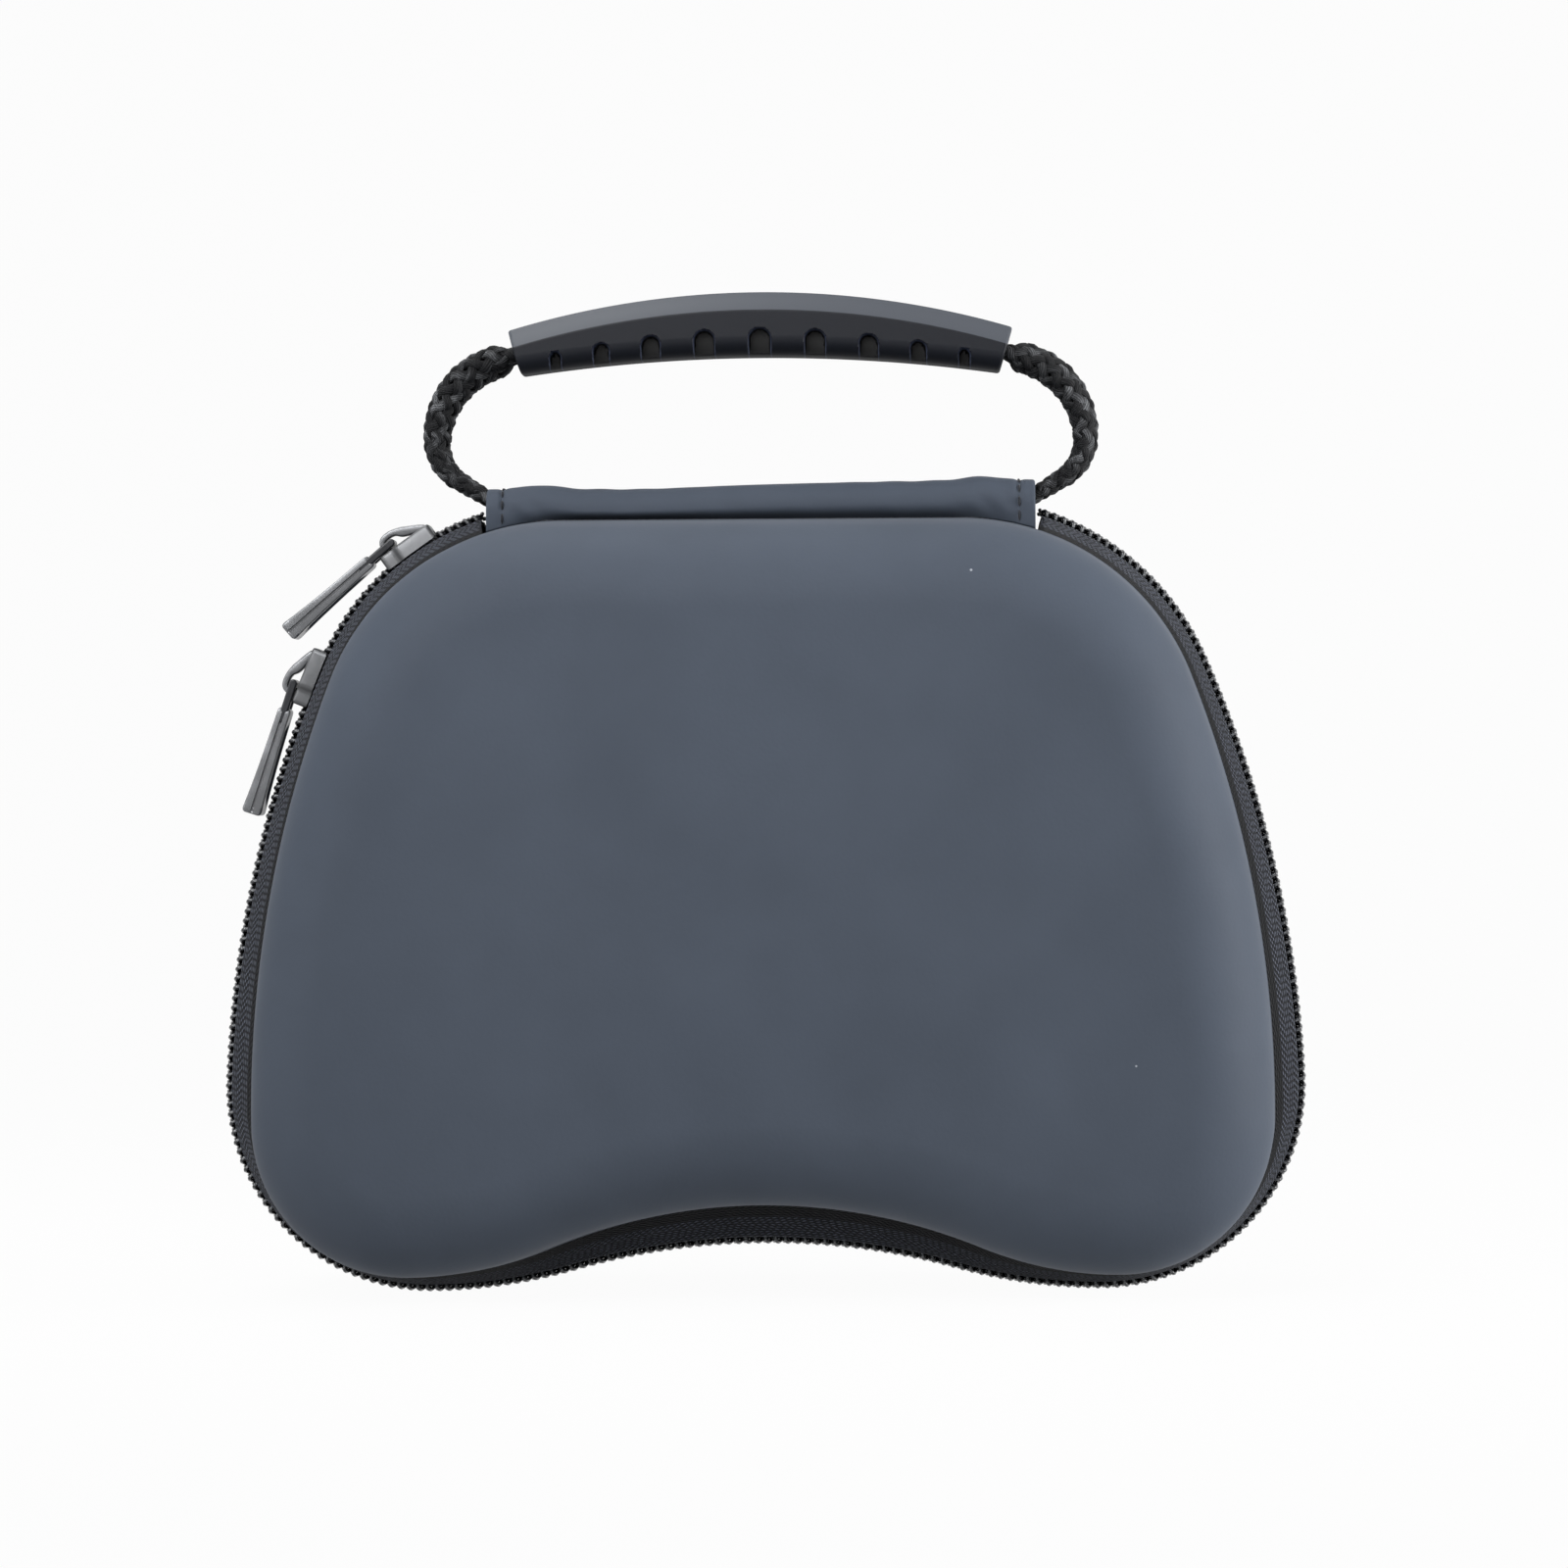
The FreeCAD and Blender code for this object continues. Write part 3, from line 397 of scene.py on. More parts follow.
class Finish(Nodes):
    """A material under construction."""

    def __init__(self, name, colour, roughness, **fixed):
        self.material = bpy.data.materials.new(name)
        super().__init__(self.material)
        self.shader = self.tree.nodes["Principled BSDF"]
        self.shader.inputs["Base Color"].default_value = (*colour, 1.0)
        self.shader.inputs["Roughness"].default_value = roughness
        for key, amount in fixed.items():
            self.shader.inputs[key.replace("_", " ")].default_value = amount

    def place(self):
        return self.node("ShaderNodeTexCoord").outputs["Object"]

    def along_across(self):
        """The piece's own map: millimetres along and across."""
        split = self.node("ShaderNodeSeparateXYZ", Vector=self.node("ShaderNodeUVMap").outputs[0])
        return Value(self.tree, split.outputs[0]), Value(self.tree, split.outputs[1])

    def noise(self, scale, detail=3.0, rough=0.5):
        made = self.node("ShaderNodeTexNoise", Vector=self.place(), Scale=scale, Detail=detail, Roughness=rough)
        return Value(self.tree, made.outputs[0])

    def cells(self, scale, feature="F1"):
        made = self.node("ShaderNodeTexVoronoi", {"feature": feature}, Vector=self.place(), Scale=scale)
        return Value(self.tree, made.outputs[0])

    def ramp(self, value, low, high):
        """0 below low, 1 above high."""
        made = self.node("ShaderNodeMapRange", Value=value, From_Min=low, From_Max=high)
        return Value(self.tree, made.outputs[0])

    def over(self, factor, under, colour):
        """Base colour between the one under, a colour or a link, and another laid over it."""
        made = self.node("ShaderNodeMix", {"data_type": "RGBA"})
        self.tree.links.new(factor.socket, made.inputs[0])
        if isinstance(under, bpy.types.NodeSocket):
            self.tree.links.new(under, made.inputs[6])
        else:
            made.inputs[6].default_value = (*under, 1.0)
        made.inputs[7].default_value = (*colour, 1.0)
        self.tree.links.new(made.outputs[2], self.shader.inputs["Base Color"])
        return made.outputs[2]

    def rough(self, value):
        self.tree.links.new(value.socket, self.shader.inputs["Roughness"])

    def relief(self, height, strength, depth):
        """Bump from a height field; depth in millimetres."""
        made = self.node("ShaderNodeBump", Height=height, Strength=strength, Distance=depth * 0.001)
        self.tree.links.new(made.outputs[0], self.shader.inputs["Normal"])


def shade(colour, factor):
    """Lighter or darker colour: each part times a factor, up to 1."""
    return tuple(min(1.0, c * factor) for c in colour)


def leather_finish(name, colour, lint=0.0):
    """Pebbled synthetic leather: fine cells, soft mottling, a few specks of lint."""
    f = Finish(name, colour, 0.5, Specular_IOR_Level=0.12, Sheen_Weight=0.03, Sheen_Roughness=0.4)
    pebble = f.cells(1500.0, "SMOOTH_F1")
    pores = f.noise(2600.0, 2.0)
    mottle = f.noise(38.0, 4.0, 0.55)
    base = f.over(f.ramp(mottle, 0.3, 0.7), shade(colour, 0.93), shade(colour, 1.07))
    if lint:
        speck = f.cells(52.0) < lint
        f.over(speck * (f.noise(21.0, 1.0) > 0.48), base, (0.36, 0.38, 0.41))
    f.rough(0.60 + 0.10 * f.noise(120.0))
    f.relief(pebble * 0.8 + pores * 0.35, 0.22, 0.09)
    return f.material


def twill_finish(name, colour, band):
    """Herringbone cloth: rows of short light stitches that step along by a third and turn back at each band.

    Painted shade: the tape's edge by the shell is a dark line, where the shadow falls between tape and shell.
    """
    f = Finish(name, colour, 0.8, Specular_IOR_Level=0.25, Sheen_Weight=0.05, Sheen_Roughness=0.5)
    along, across = f.along_across()
    slant = across.wrap(band) * 1.7
    stitch = ((along + slant) * (2 * PI / sizes().twill)).sin()
    row = (across * (2 * PI / (band / 3))).sin()
    weave = f.ramp(stitch + row * 0.8, 0.4, 1.5)
    fluff = f.noise(900.0)
    base = f.over(weave * (0.5 + 0.9 * fluff), shade(colour, 0.7), shade(colour, 8.8))
    # Painted shade: a dark line along the edge by the shell, for the shadow between tape and shell.
    f.over(f.ramp(across, 8.6, 9.1), base, shade(colour, 0.3))
    f.relief(stitch + row * 0.8, 0.6, 0.15)
    return f.material


def ribbed_finish(name, colour, pitch, light=2.2):
    """Close ribs across the length, as on binding, elastic and woven strip."""
    f = Finish(name, colour, 0.88, Specular_IOR_Level=0.25, Sheen_Weight=0.15, Sheen_Roughness=0.5)
    split = f.node("ShaderNodeSeparateXYZ", Vector=f.place())
    x, z = Value(f.tree, split.outputs[0]), Value(f.tree, split.outputs[2])
    rib = (x * (2000 * PI / pitch)).sin() * 0.5 + 0.5
    cross = (z * (2000 * PI / pitch)).sin() * 0.5 + 0.5
    fluff = f.noise(1100.0)
    weave = rib.high(cross) * (0.7 + 0.5 * fluff)
    f.over(weave, shade(colour, 0.5), shade(colour, light))
    f.relief(weave, 0.5, 0.12)
    return f.material


def braid_finish(name, colour):
    """Fine fibres on the strands of the webbing: painted light along a strand's crown, painted shade, black, where it
    dips.
    """
    f = Finish(name, colour, 0.7, Specular_IOR_Level=0.2)
    along, across = f.along_across()
    fibre = ((across + along * 0.35) * (2 * PI / 0.42)).sin() * 0.5 + 0.5
    fluff = f.noise(1000.0, 4.0, 0.7)
    patch = f.ramp(f.noise(420.0, 2.0), 0.42, 0.62)
    # Painted light and shade: light along each strand's crown, black towards its edges where it dips under the
    # others.
    crown = f.ramp((across * (2 * PI / STRAND_GIRTH)).sin(), 0.1, 1.0)
    weave = crown * (0.25 + 0.75 * fibre) * (0.2 + 1.1 * fluff) * (0.25 + 0.9 * patch)
    f.over(weave, shade(colour, 0.25), (0.16, 0.165, 0.175))
    f.relief(fibre + fluff * 0.4, 0.7, 0.12)
    return f.material


def nylon_finish(name, colour):
    """Smooth coil wire: black, with a thin painted glint on the outer bend of each turn."""
    f = Finish(name, colour, 0.22, Specular_IOR_Level=0.5, Coat_Weight=0.35, Coat_Roughness=0.15)
    scuff = f.noise(700.0)
    bend, face = f.along_across()
    # Painted glint: a thin light streak on each turn's outer bend, where a lamp would catch the glossy wire.
    painted_glint = f.ramp(bend, 0.7, 0.97) * f.ramp(face, 0.5, 0.95)
    f.over(painted_glint * (0.5 + 0.6 * scuff), f.over(scuff, shade(colour, 0.7), shade(colour, 1.6)), (0.62, 0.64, 0.66))
    f.rough(0.26 + 0.14 * scuff)
    return f.material


def metal_finish(name, colour, roughness, metallic):
    """Lacquered die-cast metal with fine orange peel and rubbed spots."""
    f = Finish(name, colour, roughness, Metallic=metallic, Specular_IOR_Level=0.5)
    peel = f.noise(420.0, 2.0)
    rub = f.ramp(f.noise(160.0, 4.0, 0.6), 0.45, 0.75)
    f.over(rub, shade(colour, 0.85), shade(colour, 1.25))
    f.rough(roughness - 0.06 + 0.16 * rub)
    f.relief(peel, 0.12, 0.05)
    return f.material


def rubber_finish(name, colour):
    """Moulded soft rubber: fine even grain, matt underneath; a painted highlight on the bevel and top, painted
    highlights on the slots' rims and painted shade, black, inside the slots.
    """
    f = Finish(name, colour, 0.4, Specular_IOR_Level=0.22)
    part, slot = f.along_across()
    grain = f.noise(2400.0, 3.0, 0.6)
    dust = f.noise(90.0, 4.0, 0.6)
    base = f.over(f.ramp(dust, 0.35, 0.75), shade(colour, 0.92), shade(colour, 1.12))
    # Painted highlight: the bevel and top are lighter, as if lit from above.
    base = f.over(f.ramp(part, 1.2, 1.9), base, (0.060, 0.066, 0.078))
    # Painted highlight: a thin light rim round each slot.
    painted_slot_rims = f.over(f.ramp(slot, 0.04, 0.2), base, shade(colour, 9.0))
    # Painted shade: the slots are black inside, where the recess is in shade.
    f.over(f.ramp(slot, 0.3, 0.7), painted_slot_rims, shade(colour, 0.1))
    f.rough(0.66 - 0.26 * f.ramp(part, 0.1, 1.0) + 0.08 * grain)
    f.relief(grain, 0.18, 0.04)
    return f.material


def knit_finish(name, colour):
    """Short-napped knitted lining."""
    f = Finish(name, colour, 0.95, Specular_IOR_Level=0.2, Sheen_Weight=0.35, Sheen_Roughness=0.6)
    nap = f.noise(1300.0, 4.0, 0.7)
    loops = f.cells(1100.0)
    f.over(nap * (0.6 + 0.6 * loops), shade(colour, 0.6), shade(colour, 2.0))
    f.relief(nap + loops * 0.5, 0.5, 0.12)
    return f.material


# Each finish: its maker, its colour by name or in numbers, how much of it, and what else the maker takes.
FINISHES = {
    "shell_leather": (leather_finish, "leather", 1.0, 0.011),
    "sleeve_leather": (leather_finish, "leather", 0.95),
    "tape_cloth": (twill_finish, "cloth", 1.0, 1.5),
    "coil_nylon": (nylon_finish, (0.012, 0.013, 0.016), 1.0),
    "binding_cloth": (ribbed_finish, "cloth", 1.0, 0.7),
    "strip_cloth": (ribbed_finish, "cloth", 1.0, 0.9),
    "hem_elastic": (ribbed_finish, "cloth", 1.0, 1.1, 2.8),
    "net_cloth": (ribbed_finish, "cloth", 1.0, 0.5, 2.6),
    "thread": (ribbed_finish, (0.008, 0.009, 0.012), 1.0, 0.4),
    "webbing": (braid_finish, "cloth", 0.8),
    "grip_rubber": (rubber_finish, "rubber", 1.0),
    "slider_metal": (metal_finish, "metal", 0.54, 0.42, 0.7),
    "bridge_metal": (metal_finish, "metal", 0.8, 0.38, 0.7),
    "link_metal": (metal_finish, (0.02, 0.021, 0.025), 1.0, 0.36, 0.3),
    "pull_metal": (metal_finish, "metal", 0.85, 0.34, 0.6),
    "lining": (knit_finish, "lining", 1.0),
}


@functools.cache
def material(name):
    """Each finish is made once, when the first piece asks for it."""
    maker, colour, strength, *rest = FINISHES[name]
    if isinstance(colour, str):
        colour = getattr(colours(), colour)
    return maker(name, shade(colour, strength), *rest)


# ---- shells

def half_profile(start_inset, crown, shoulder, steps):
    """Inset and depth along a wall that leans in by SLOPE, then round a quarter turn of the shoulder."""
    root = math.sqrt(1 + SLOPE ** 2)
    depth_c = crown - shoulder
    inset_c = start_inset + SLOPE * (depth_c - RIM_Y) + shoulder * root
    touch = depth_c + shoulder * SLOPE / root
    wall_y = np.linspace(RIM_Y + 1.2, touch, 14, endpoint=False)
    wall = np.stack([start_inset + SLOPE * (wall_y - RIM_Y), wall_y], 1)
    a = np.linspace(PI - math.atan(SLOPE), PI / 2, steps)
    bend = np.stack([inset_c + shoulder * np.cos(a), depth_c + shoulder * np.sin(a)], 1)
    return np.concatenate([wall, bend])


def shell(side, name):
    """One shell: rings of the rim line at each inset and depth, closed to a point on both crowns.

    From the inner pole down the lining, round the rolled edge and up the leather to the outer pole.
    """
    outer = half_profile(0.0, CROWN_Y, shoulder=15.0, steps=26)
    inner = half_profile(WALL, CROWN_Y - WALL, shoulder=12.0, steps=18)
    a = np.linspace(PI / 2 * 3, PI, 6)
    roll = np.stack([0.85 + 0.85 * np.cos(a), RIM_Y + 0.45 + 0.85 * np.sin(a)], 1)
    lip = np.array([[WALL, RIM_Y + 0.5], [WALL - 0.3, RIM_Y + 0.02], [1.5, RIM_Y - 0.2]])
    walls = np.concatenate([inner[::-1], lip, roll, outer])
    rings = [at_depth(RIM_LINE.ring(inset)[:2], depth) for inset, depth in walls]
    shrink = np.linspace(0.0, 1.0, 14)[1:-1]
    dome = sizes().dome

    def crown(edge, depth, rise):
        """Rings that shrink to the middle while their depth rises as one less a square."""
        t = shrink[:, None, None]
        layers = edge * (1 - t) + np.array([0.0, 0.0, CROWN_Z]) * t
        layers[:, :, 1] = depth + rise * (1 - (1 - t[:, :, 0]) ** 2)
        return layers

    inner_rings = crown(rings[0], CROWN_Y - WALL, dome * 0.5)[::-1]
    stack = np.concatenate([inner_rings, rings, crown(rings[-1], CROWN_Y, dome)])
    # The leather isn't quite even: waves of a tenth of a millimetre on the crowns.
    wave = 0.10 * np.sin(stack[:, :, 0] * 0.13 + 1.1) * np.sin(stack[:, :, 2] * 0.11 + 0.4)
    wave += 0.05 * np.sin(stack[:, :, 0] * 0.31 + stack[:, :, 2] * 0.23)
    stack[:, :, 1] += wave * np.clip((stack[:, :, 1] - 20) / 15, 0, 1)
    rows, columns = stack.shape[:2]
    poles = [[0.0, CROWN_Y - WALL + dome * 0.5, CROWN_Z], [0.0, CROWN_Y + dome, CROWN_Z]]
    points = np.concatenate([stack.reshape(-1, 3), poles])
    points[:, 1] *= side
    quads = grid_faces(rows, columns, wrap_columns=True)
    j = np.arange(columns)
    k = (j + 1) % columns
    last = (rows - 1) * columns
    cap_in = np.stack([np.full(columns, rows * columns), j, k], 1)
    cap_out = np.stack([np.full(columns, rows * columns + 1), last + k, last + j], 1)
    lined = quads[:, 0] // columns < len(shrink) + len(inner) + 1
    kinds = np.concatenate([lined, np.ones(columns), np.zeros(columns)])
    return outward(put_mesh(name, points, [quads, cap_in, cap_out], kinds=kinds))


# ---- zip

def covered(x, z, past):
    """Which points of the zip line the sleeve hides, and those that little past its ends."""
    return (np.abs(x) < SLEEVE_END + past) & (z > CROWN_Z)


def tape(side, name):
    """Zip tape 0.8 mm thick: flat under the coil, 1.5 mm below the zip line, then sloping in to the shell's rim."""
    slope = np.concatenate([[0.02, 0.07], np.linspace(0.16, 1.0, 9)])

    def lay(deep, depth, mix):
        return at_depth(ZIP_LINE.ring(COIL_DEEP + deep)[:2] * (1 - mix) + RIM_LINE.ring(0.3 + deep)[:2] * mix, depth)

    plan = [(depth, 0.0) for depth in (1.0, 2.2, 3.4, 4.6, 5.1)] + [(5.5 + 2.55 * s, s) for s in slope]
    loop = np.array([lay(0.0, *row) for row in plan] + [lay(0.8, *row) for row in plan[::-1]])
    x, z = line = ZIP_LINE.ring(0.0)[:2]
    along = travelled(line.T)
    across = travelled(loop[:, len(x) // 4])
    hidden = covered(x, z, 0.6)
    # Opened at the sleeve, so that both ends of the tape are under it.
    order = (np.arange(len(x)) + int(np.argmax(hidden))) % len(x)
    order = order[~hidden[order]]
    loop = loop[:, order]
    rows, columns = loop.shape[:2]
    points = loop.reshape(-1, 3)
    points[:, 1] *= side
    run = along[order]
    run = run + (run < run[0]) * (2 * along[-1] - along[-2])
    uv = grid_map(across, run)[:, ::-1]
    r = np.arange(rows)
    ends = [r * columns, r[::-1] * columns + columns - 1]
    quads = grid_faces(rows, columns, wrap_rows=True)
    return outward(put_mesh(name, points, [quads, ends[:1], ends[1:]], uv=uv))


def tube(path, out, wide, thick, sides):
    """Closed tube: an ellipse of half sizes wide by thick carried along a path, its short axis towards out."""
    along = np.gradient(path, axis=0)
    along /= np.linalg.norm(along, axis=1)[:, None]
    out = out - np.sum(out * along, 1)[:, None] * along
    out /= np.linalg.norm(out, axis=1)[:, None]
    flank = np.cross(along, out)
    a = np.linspace(0, 2 * PI, sides, endpoint=False)
    ring = (np.cos(a)[None, :, None] * wide * flank[:, None] + np.sin(a)[None, :, None] * thick * out[:, None])
    return (path[:, None] + ring).reshape(-1, 3)


def tube_faces(count, sides, tubes=1):
    """Quads and end caps of a number of tubes, each of count rings."""
    quads = grid_faces(count, sides, wrap_columns=True)
    caps = np.array([np.arange(sides)[::-1], (count - 1) * sides + np.arange(sides)])
    shift = (np.arange(tubes) * count * sides)[:, None, None]
    return [(quads[None] + shift).reshape(-1, 4), (caps[None] + shift).reshape(-1, sides)]


def coil(side, name):
    """One row of the coil: a round wire carried along a flattened helix that lies on its tape.

    Each turn of the helix is an ellipse across the zip, 3.3 mm wide and 0.84 mm high at the wire's
    middle, and takes one pitch; the other row is half a pitch on, so their heads interlock.
    """
    wire = sizes().turn
    line = ZIP_LINE.even(0.0, TURN_PITCH / 14)
    x, z, u, w, run = line[:, ~covered(line[0], line[1], 1.0)]
    turn = 2 * PI * run / TURN_PITCH + (0.0 if side > 0 else PI)
    y = 1.03 + 1.62 * np.cos(turn)
    n = -0.75 + (0.74 - wire) * np.sin(turn)
    path = np.stack([x + n * u, y * side, z + n * w], 1)
    out = np.stack([np.sin(turn) * u * 2, np.cos(turn) * side, np.sin(turn) * w * 2], 1)
    spin = np.linspace(0, 1, 7, endpoint=False)
    # The map places the painted glint: how near a point is to its turn's bend, and how far round the wire it faces
    # out.
    uv = grid_map(np.cos(turn + 0.7), np.cos(2 * PI * (spin - 0.25)))
    return outward(put_mesh(name, tube(path, out, wire, wire, 7), tube_faces(len(path), 7), uv=uv))


# ---- sleeve

# Half width and corner of the hood's outside; how far the stitching draws it in.
HOOD_SECTION, SEAM_DENT = (7.5, 3.8), 0.24


def sleeve_height(x):
    """Top of the hood: level, a bulge over each cord end, a dip at the stitching, lower on the left."""
    ax = np.abs(x)
    bulge = 0.62 * np.exp(-((ax - 37.0) / 4.4) ** 2)
    dip = -0.26 * np.exp(-((ax - SLEEVE_SEAM) / 0.6) ** 2)
    sag = 0.55 * np.tanh(x / 30.0) - 0.30 * np.exp(-((x + 20.0) / 12.0) ** 2)
    ripple = 0.06 * np.sin(x * 0.9 + 0.6) * np.exp(-((ax - 30) / 14) ** 2)
    return RIM_TOP + 6.05 + bulge + dip + sag + ripple


def sleeve_foot(x):
    """Height of the foot: it follows the shells' rims round their corners."""
    over = np.maximum(0.0, np.abs(x) - CORNER_X)
    return RIM_TOP + 0.15 - RIM_CORNER + np.sqrt(RIM_CORNER ** 2 - over ** 2)


def sleeve_tuck(x):
    """How far the walls draw in at the foot: a good deal along the middle, hardly at the sewn ends."""
    return 0.25 + 1.75 * np.clip((43.6 - np.abs(x)) / 12.0, 0, 1) ** 0.8


def hood(x, height, half, corner, lift=0.0):
    """Rounded section across the top at each x, from the front foot to the back foot.

    The wall is a quarter wave that draws in towards the foot; above it a quarter circle turns
    to the top, which swells by a tenth of a millimetre.
    """
    foot, tuck = sleeve_foot(x) + lift, sleeve_tuck(x)
    s = np.linspace(0.0, 1.0, 14)
    a = np.linspace(PI, PI / 2, 10)[1:]
    side_z = foot[:, None] + (height - corner - foot)[:, None] * s[None]
    side_y = -half + tuck[:, None] * (1 - np.sin(s * PI / 2))[None] ** 1.3
    bend_y = np.broadcast_to(-half + corner + corner * np.cos(a), (len(x), len(a)))
    bend_z = height[:, None] - corner + corner * np.sin(a)[None]
    flat_y = np.broadcast_to(np.linspace(-half + corner, 0.0, 6)[1:], (len(x), 5))
    flat_z = height[:, None] + 0.10 * np.cos(flat_y / (half - corner) * PI / 2)
    y = np.concatenate([side_y, bend_y, flat_y], 1)
    z = np.concatenate([side_z, bend_z, flat_z], 1)
    return mirrored(y), mirrored(z, 1)


def sleeve(name):
    """Leather hood, 0.9 mm thick, its ends turned under and sewn, with a soft fold at each cord end."""
    ends = np.linspace(42, SLEEVE_END, 26)
    x = np.concatenate([-ends[::-1], np.linspace(-42, 42, 170)[1:-1], ends])
    height = sleeve_height(x)
    pinch = 0.32 * quarter(1 - np.clip((SLEEVE_END - np.abs(x)) / 0.45, 0, 1))
    crease = SEAM_DENT * np.exp(-((np.abs(x) - SLEEVE_SEAM) / 0.5) ** 2)
    outer_y, outer_z = hood(x, height - pinch, *HOOD_SECTION)
    inner_y, inner_z = hood(x, height - 0.9 + pinch * 0.6, 6.6, 2.9, -0.1)
    inward = (pinch + crease)[:, None] * np.clip((outer_z - RIM_TOP) / 3, 0, 1)
    outer_y = outer_y - np.sign(outer_y) * inward
    reach = np.exp(-((np.abs(x) - 39.5) / 4.5) ** 2)[:, None]
    fold = 0.16 * np.sin(x[:, None] * 1.25 + (outer_z - 130) * 0.9) * reach
    slow = 0.08 * np.sin(x[:, None] * 0.37 + 0.8) + 0.05 * np.sin(x[:, None] * 0.83 + outer_z * 0.5)
    outer_y = outer_y + np.sign(outer_y) * (fold + slow) * np.exp(-((outer_z - 132.0) / 2.4) ** 2)
    y = np.concatenate([outer_y, inner_y[:, ::-1]], 1)
    z = np.concatenate([outer_z, inner_z[:, ::-1]], 1)
    rows, columns = y.shape
    i = np.arange(columns // 2 - 1)
    cap = np.stack([i, i + 1, columns - 2 - i, columns - 1 - i], 1)
    far = cap[:, ::-1] + (rows - 1) * columns
    quads = grid_faces(rows, columns, wrap_columns=True)
    return outward(put_mesh(name, stations(x, y, z), [quads, cap, far]))


def stitch(p, q, out, radius=0.21):
    """One thread: circles carried from p to q, bowed outwards by half a wave and drawn in at both ends."""
    t = np.linspace(0, 1, 7)[:, None]
    line = p * (1 - t) + q * t + out * np.sin(t * PI)
    along = (q - p) / np.linalg.norm(q - p)
    up = out / np.linalg.norm(out)
    a = np.linspace(0, 2 * PI, 8, endpoint=False)[None, :, None]
    thick = radius * np.sqrt(np.clip(1 - (2 * t - 1) ** 4, 0.05, 1))
    return (line[:, None] + thick[:, None] * (np.cos(a) * up + np.sin(a) * np.cross(along, up))).reshape(-1, 3)


def sleeve_threads(name):
    """A row of stitches over each end of the hood, following its section."""
    threads = []
    for sx in (-SLEEVE_SEAM, SLEEVE_SEAM):
        x = np.array([sx])
        y, z = (c[0] for c in hood(x, sleeve_height(x), *HOOD_SECTION))
        y = y - np.sign(y) * SEAM_DENT * np.clip((z - RIM_TOP) / 3, 0, 1)
        section = np.stack([np.full_like(y, sx), y, z], 1)
        run = travelled(section)
        for mark in np.arange(0.6, run[-1] - 0.4, 2.35):
            if mark + 1.75 > run[-1]:
                continue
            a, b, c = (np.array([np.interp(mark + on, run, part) for part in section.T]) for on in (0.0, 1.75, 0.9))
            normal = np.array([0.0, a[2] - b[2], b[1] - a[1]])
            normal = normal / np.linalg.norm(normal)
            if normal @ (c - [0.0, 0.0, RIM_TOP + 1.5]) < 0:
                normal = -normal
            lift = 0.16 + max(0.0, float(normal @ (c - (a + b) / 2)))
            threads.append(stitch(a, b, normal * lift))
    return outward(put_mesh(name, np.concatenate(threads), tube_faces(7, 8, len(threads))))


# ---- handle

# The grip: its top's height, half length, the radii of its top and underside, and its height in the middle.
GRIP_TOP_Z, GRIP_REACH, GRIP_TOP_R, GRIP_BOTTOM_R, GRIP_DROP = ZIP_TOP + 34.3, 42.4, 148.0, 277.0, 10.6
GRIP_ANGLE = math.asin(GRIP_REACH / GRIP_TOP_R)
GRIP_CENTRE_Z = GRIP_TOP_Z - GRIP_TOP_R
GRIP_GAP = (GRIP_TOP_Z - GRIP_DROP - GRIP_BOTTOM_R) - GRIP_CENTRE_Z
# The bevel's height; how far from the middle a slot's floor is; the height that the webbing folds at.
BEVEL, SLOT_FLOOR, AXIS_Z = 3.2, 4.4, 133.2
# The slots from the middle one out: place along the grip, width, height.
SLOTS = ((0.0, 3.6, 4.4), (9.3, 3.4, 4.2), (18.3, 3.1, 3.8), (26.6, 2.6, 3.3), (34.3, 1.8, 2.7))


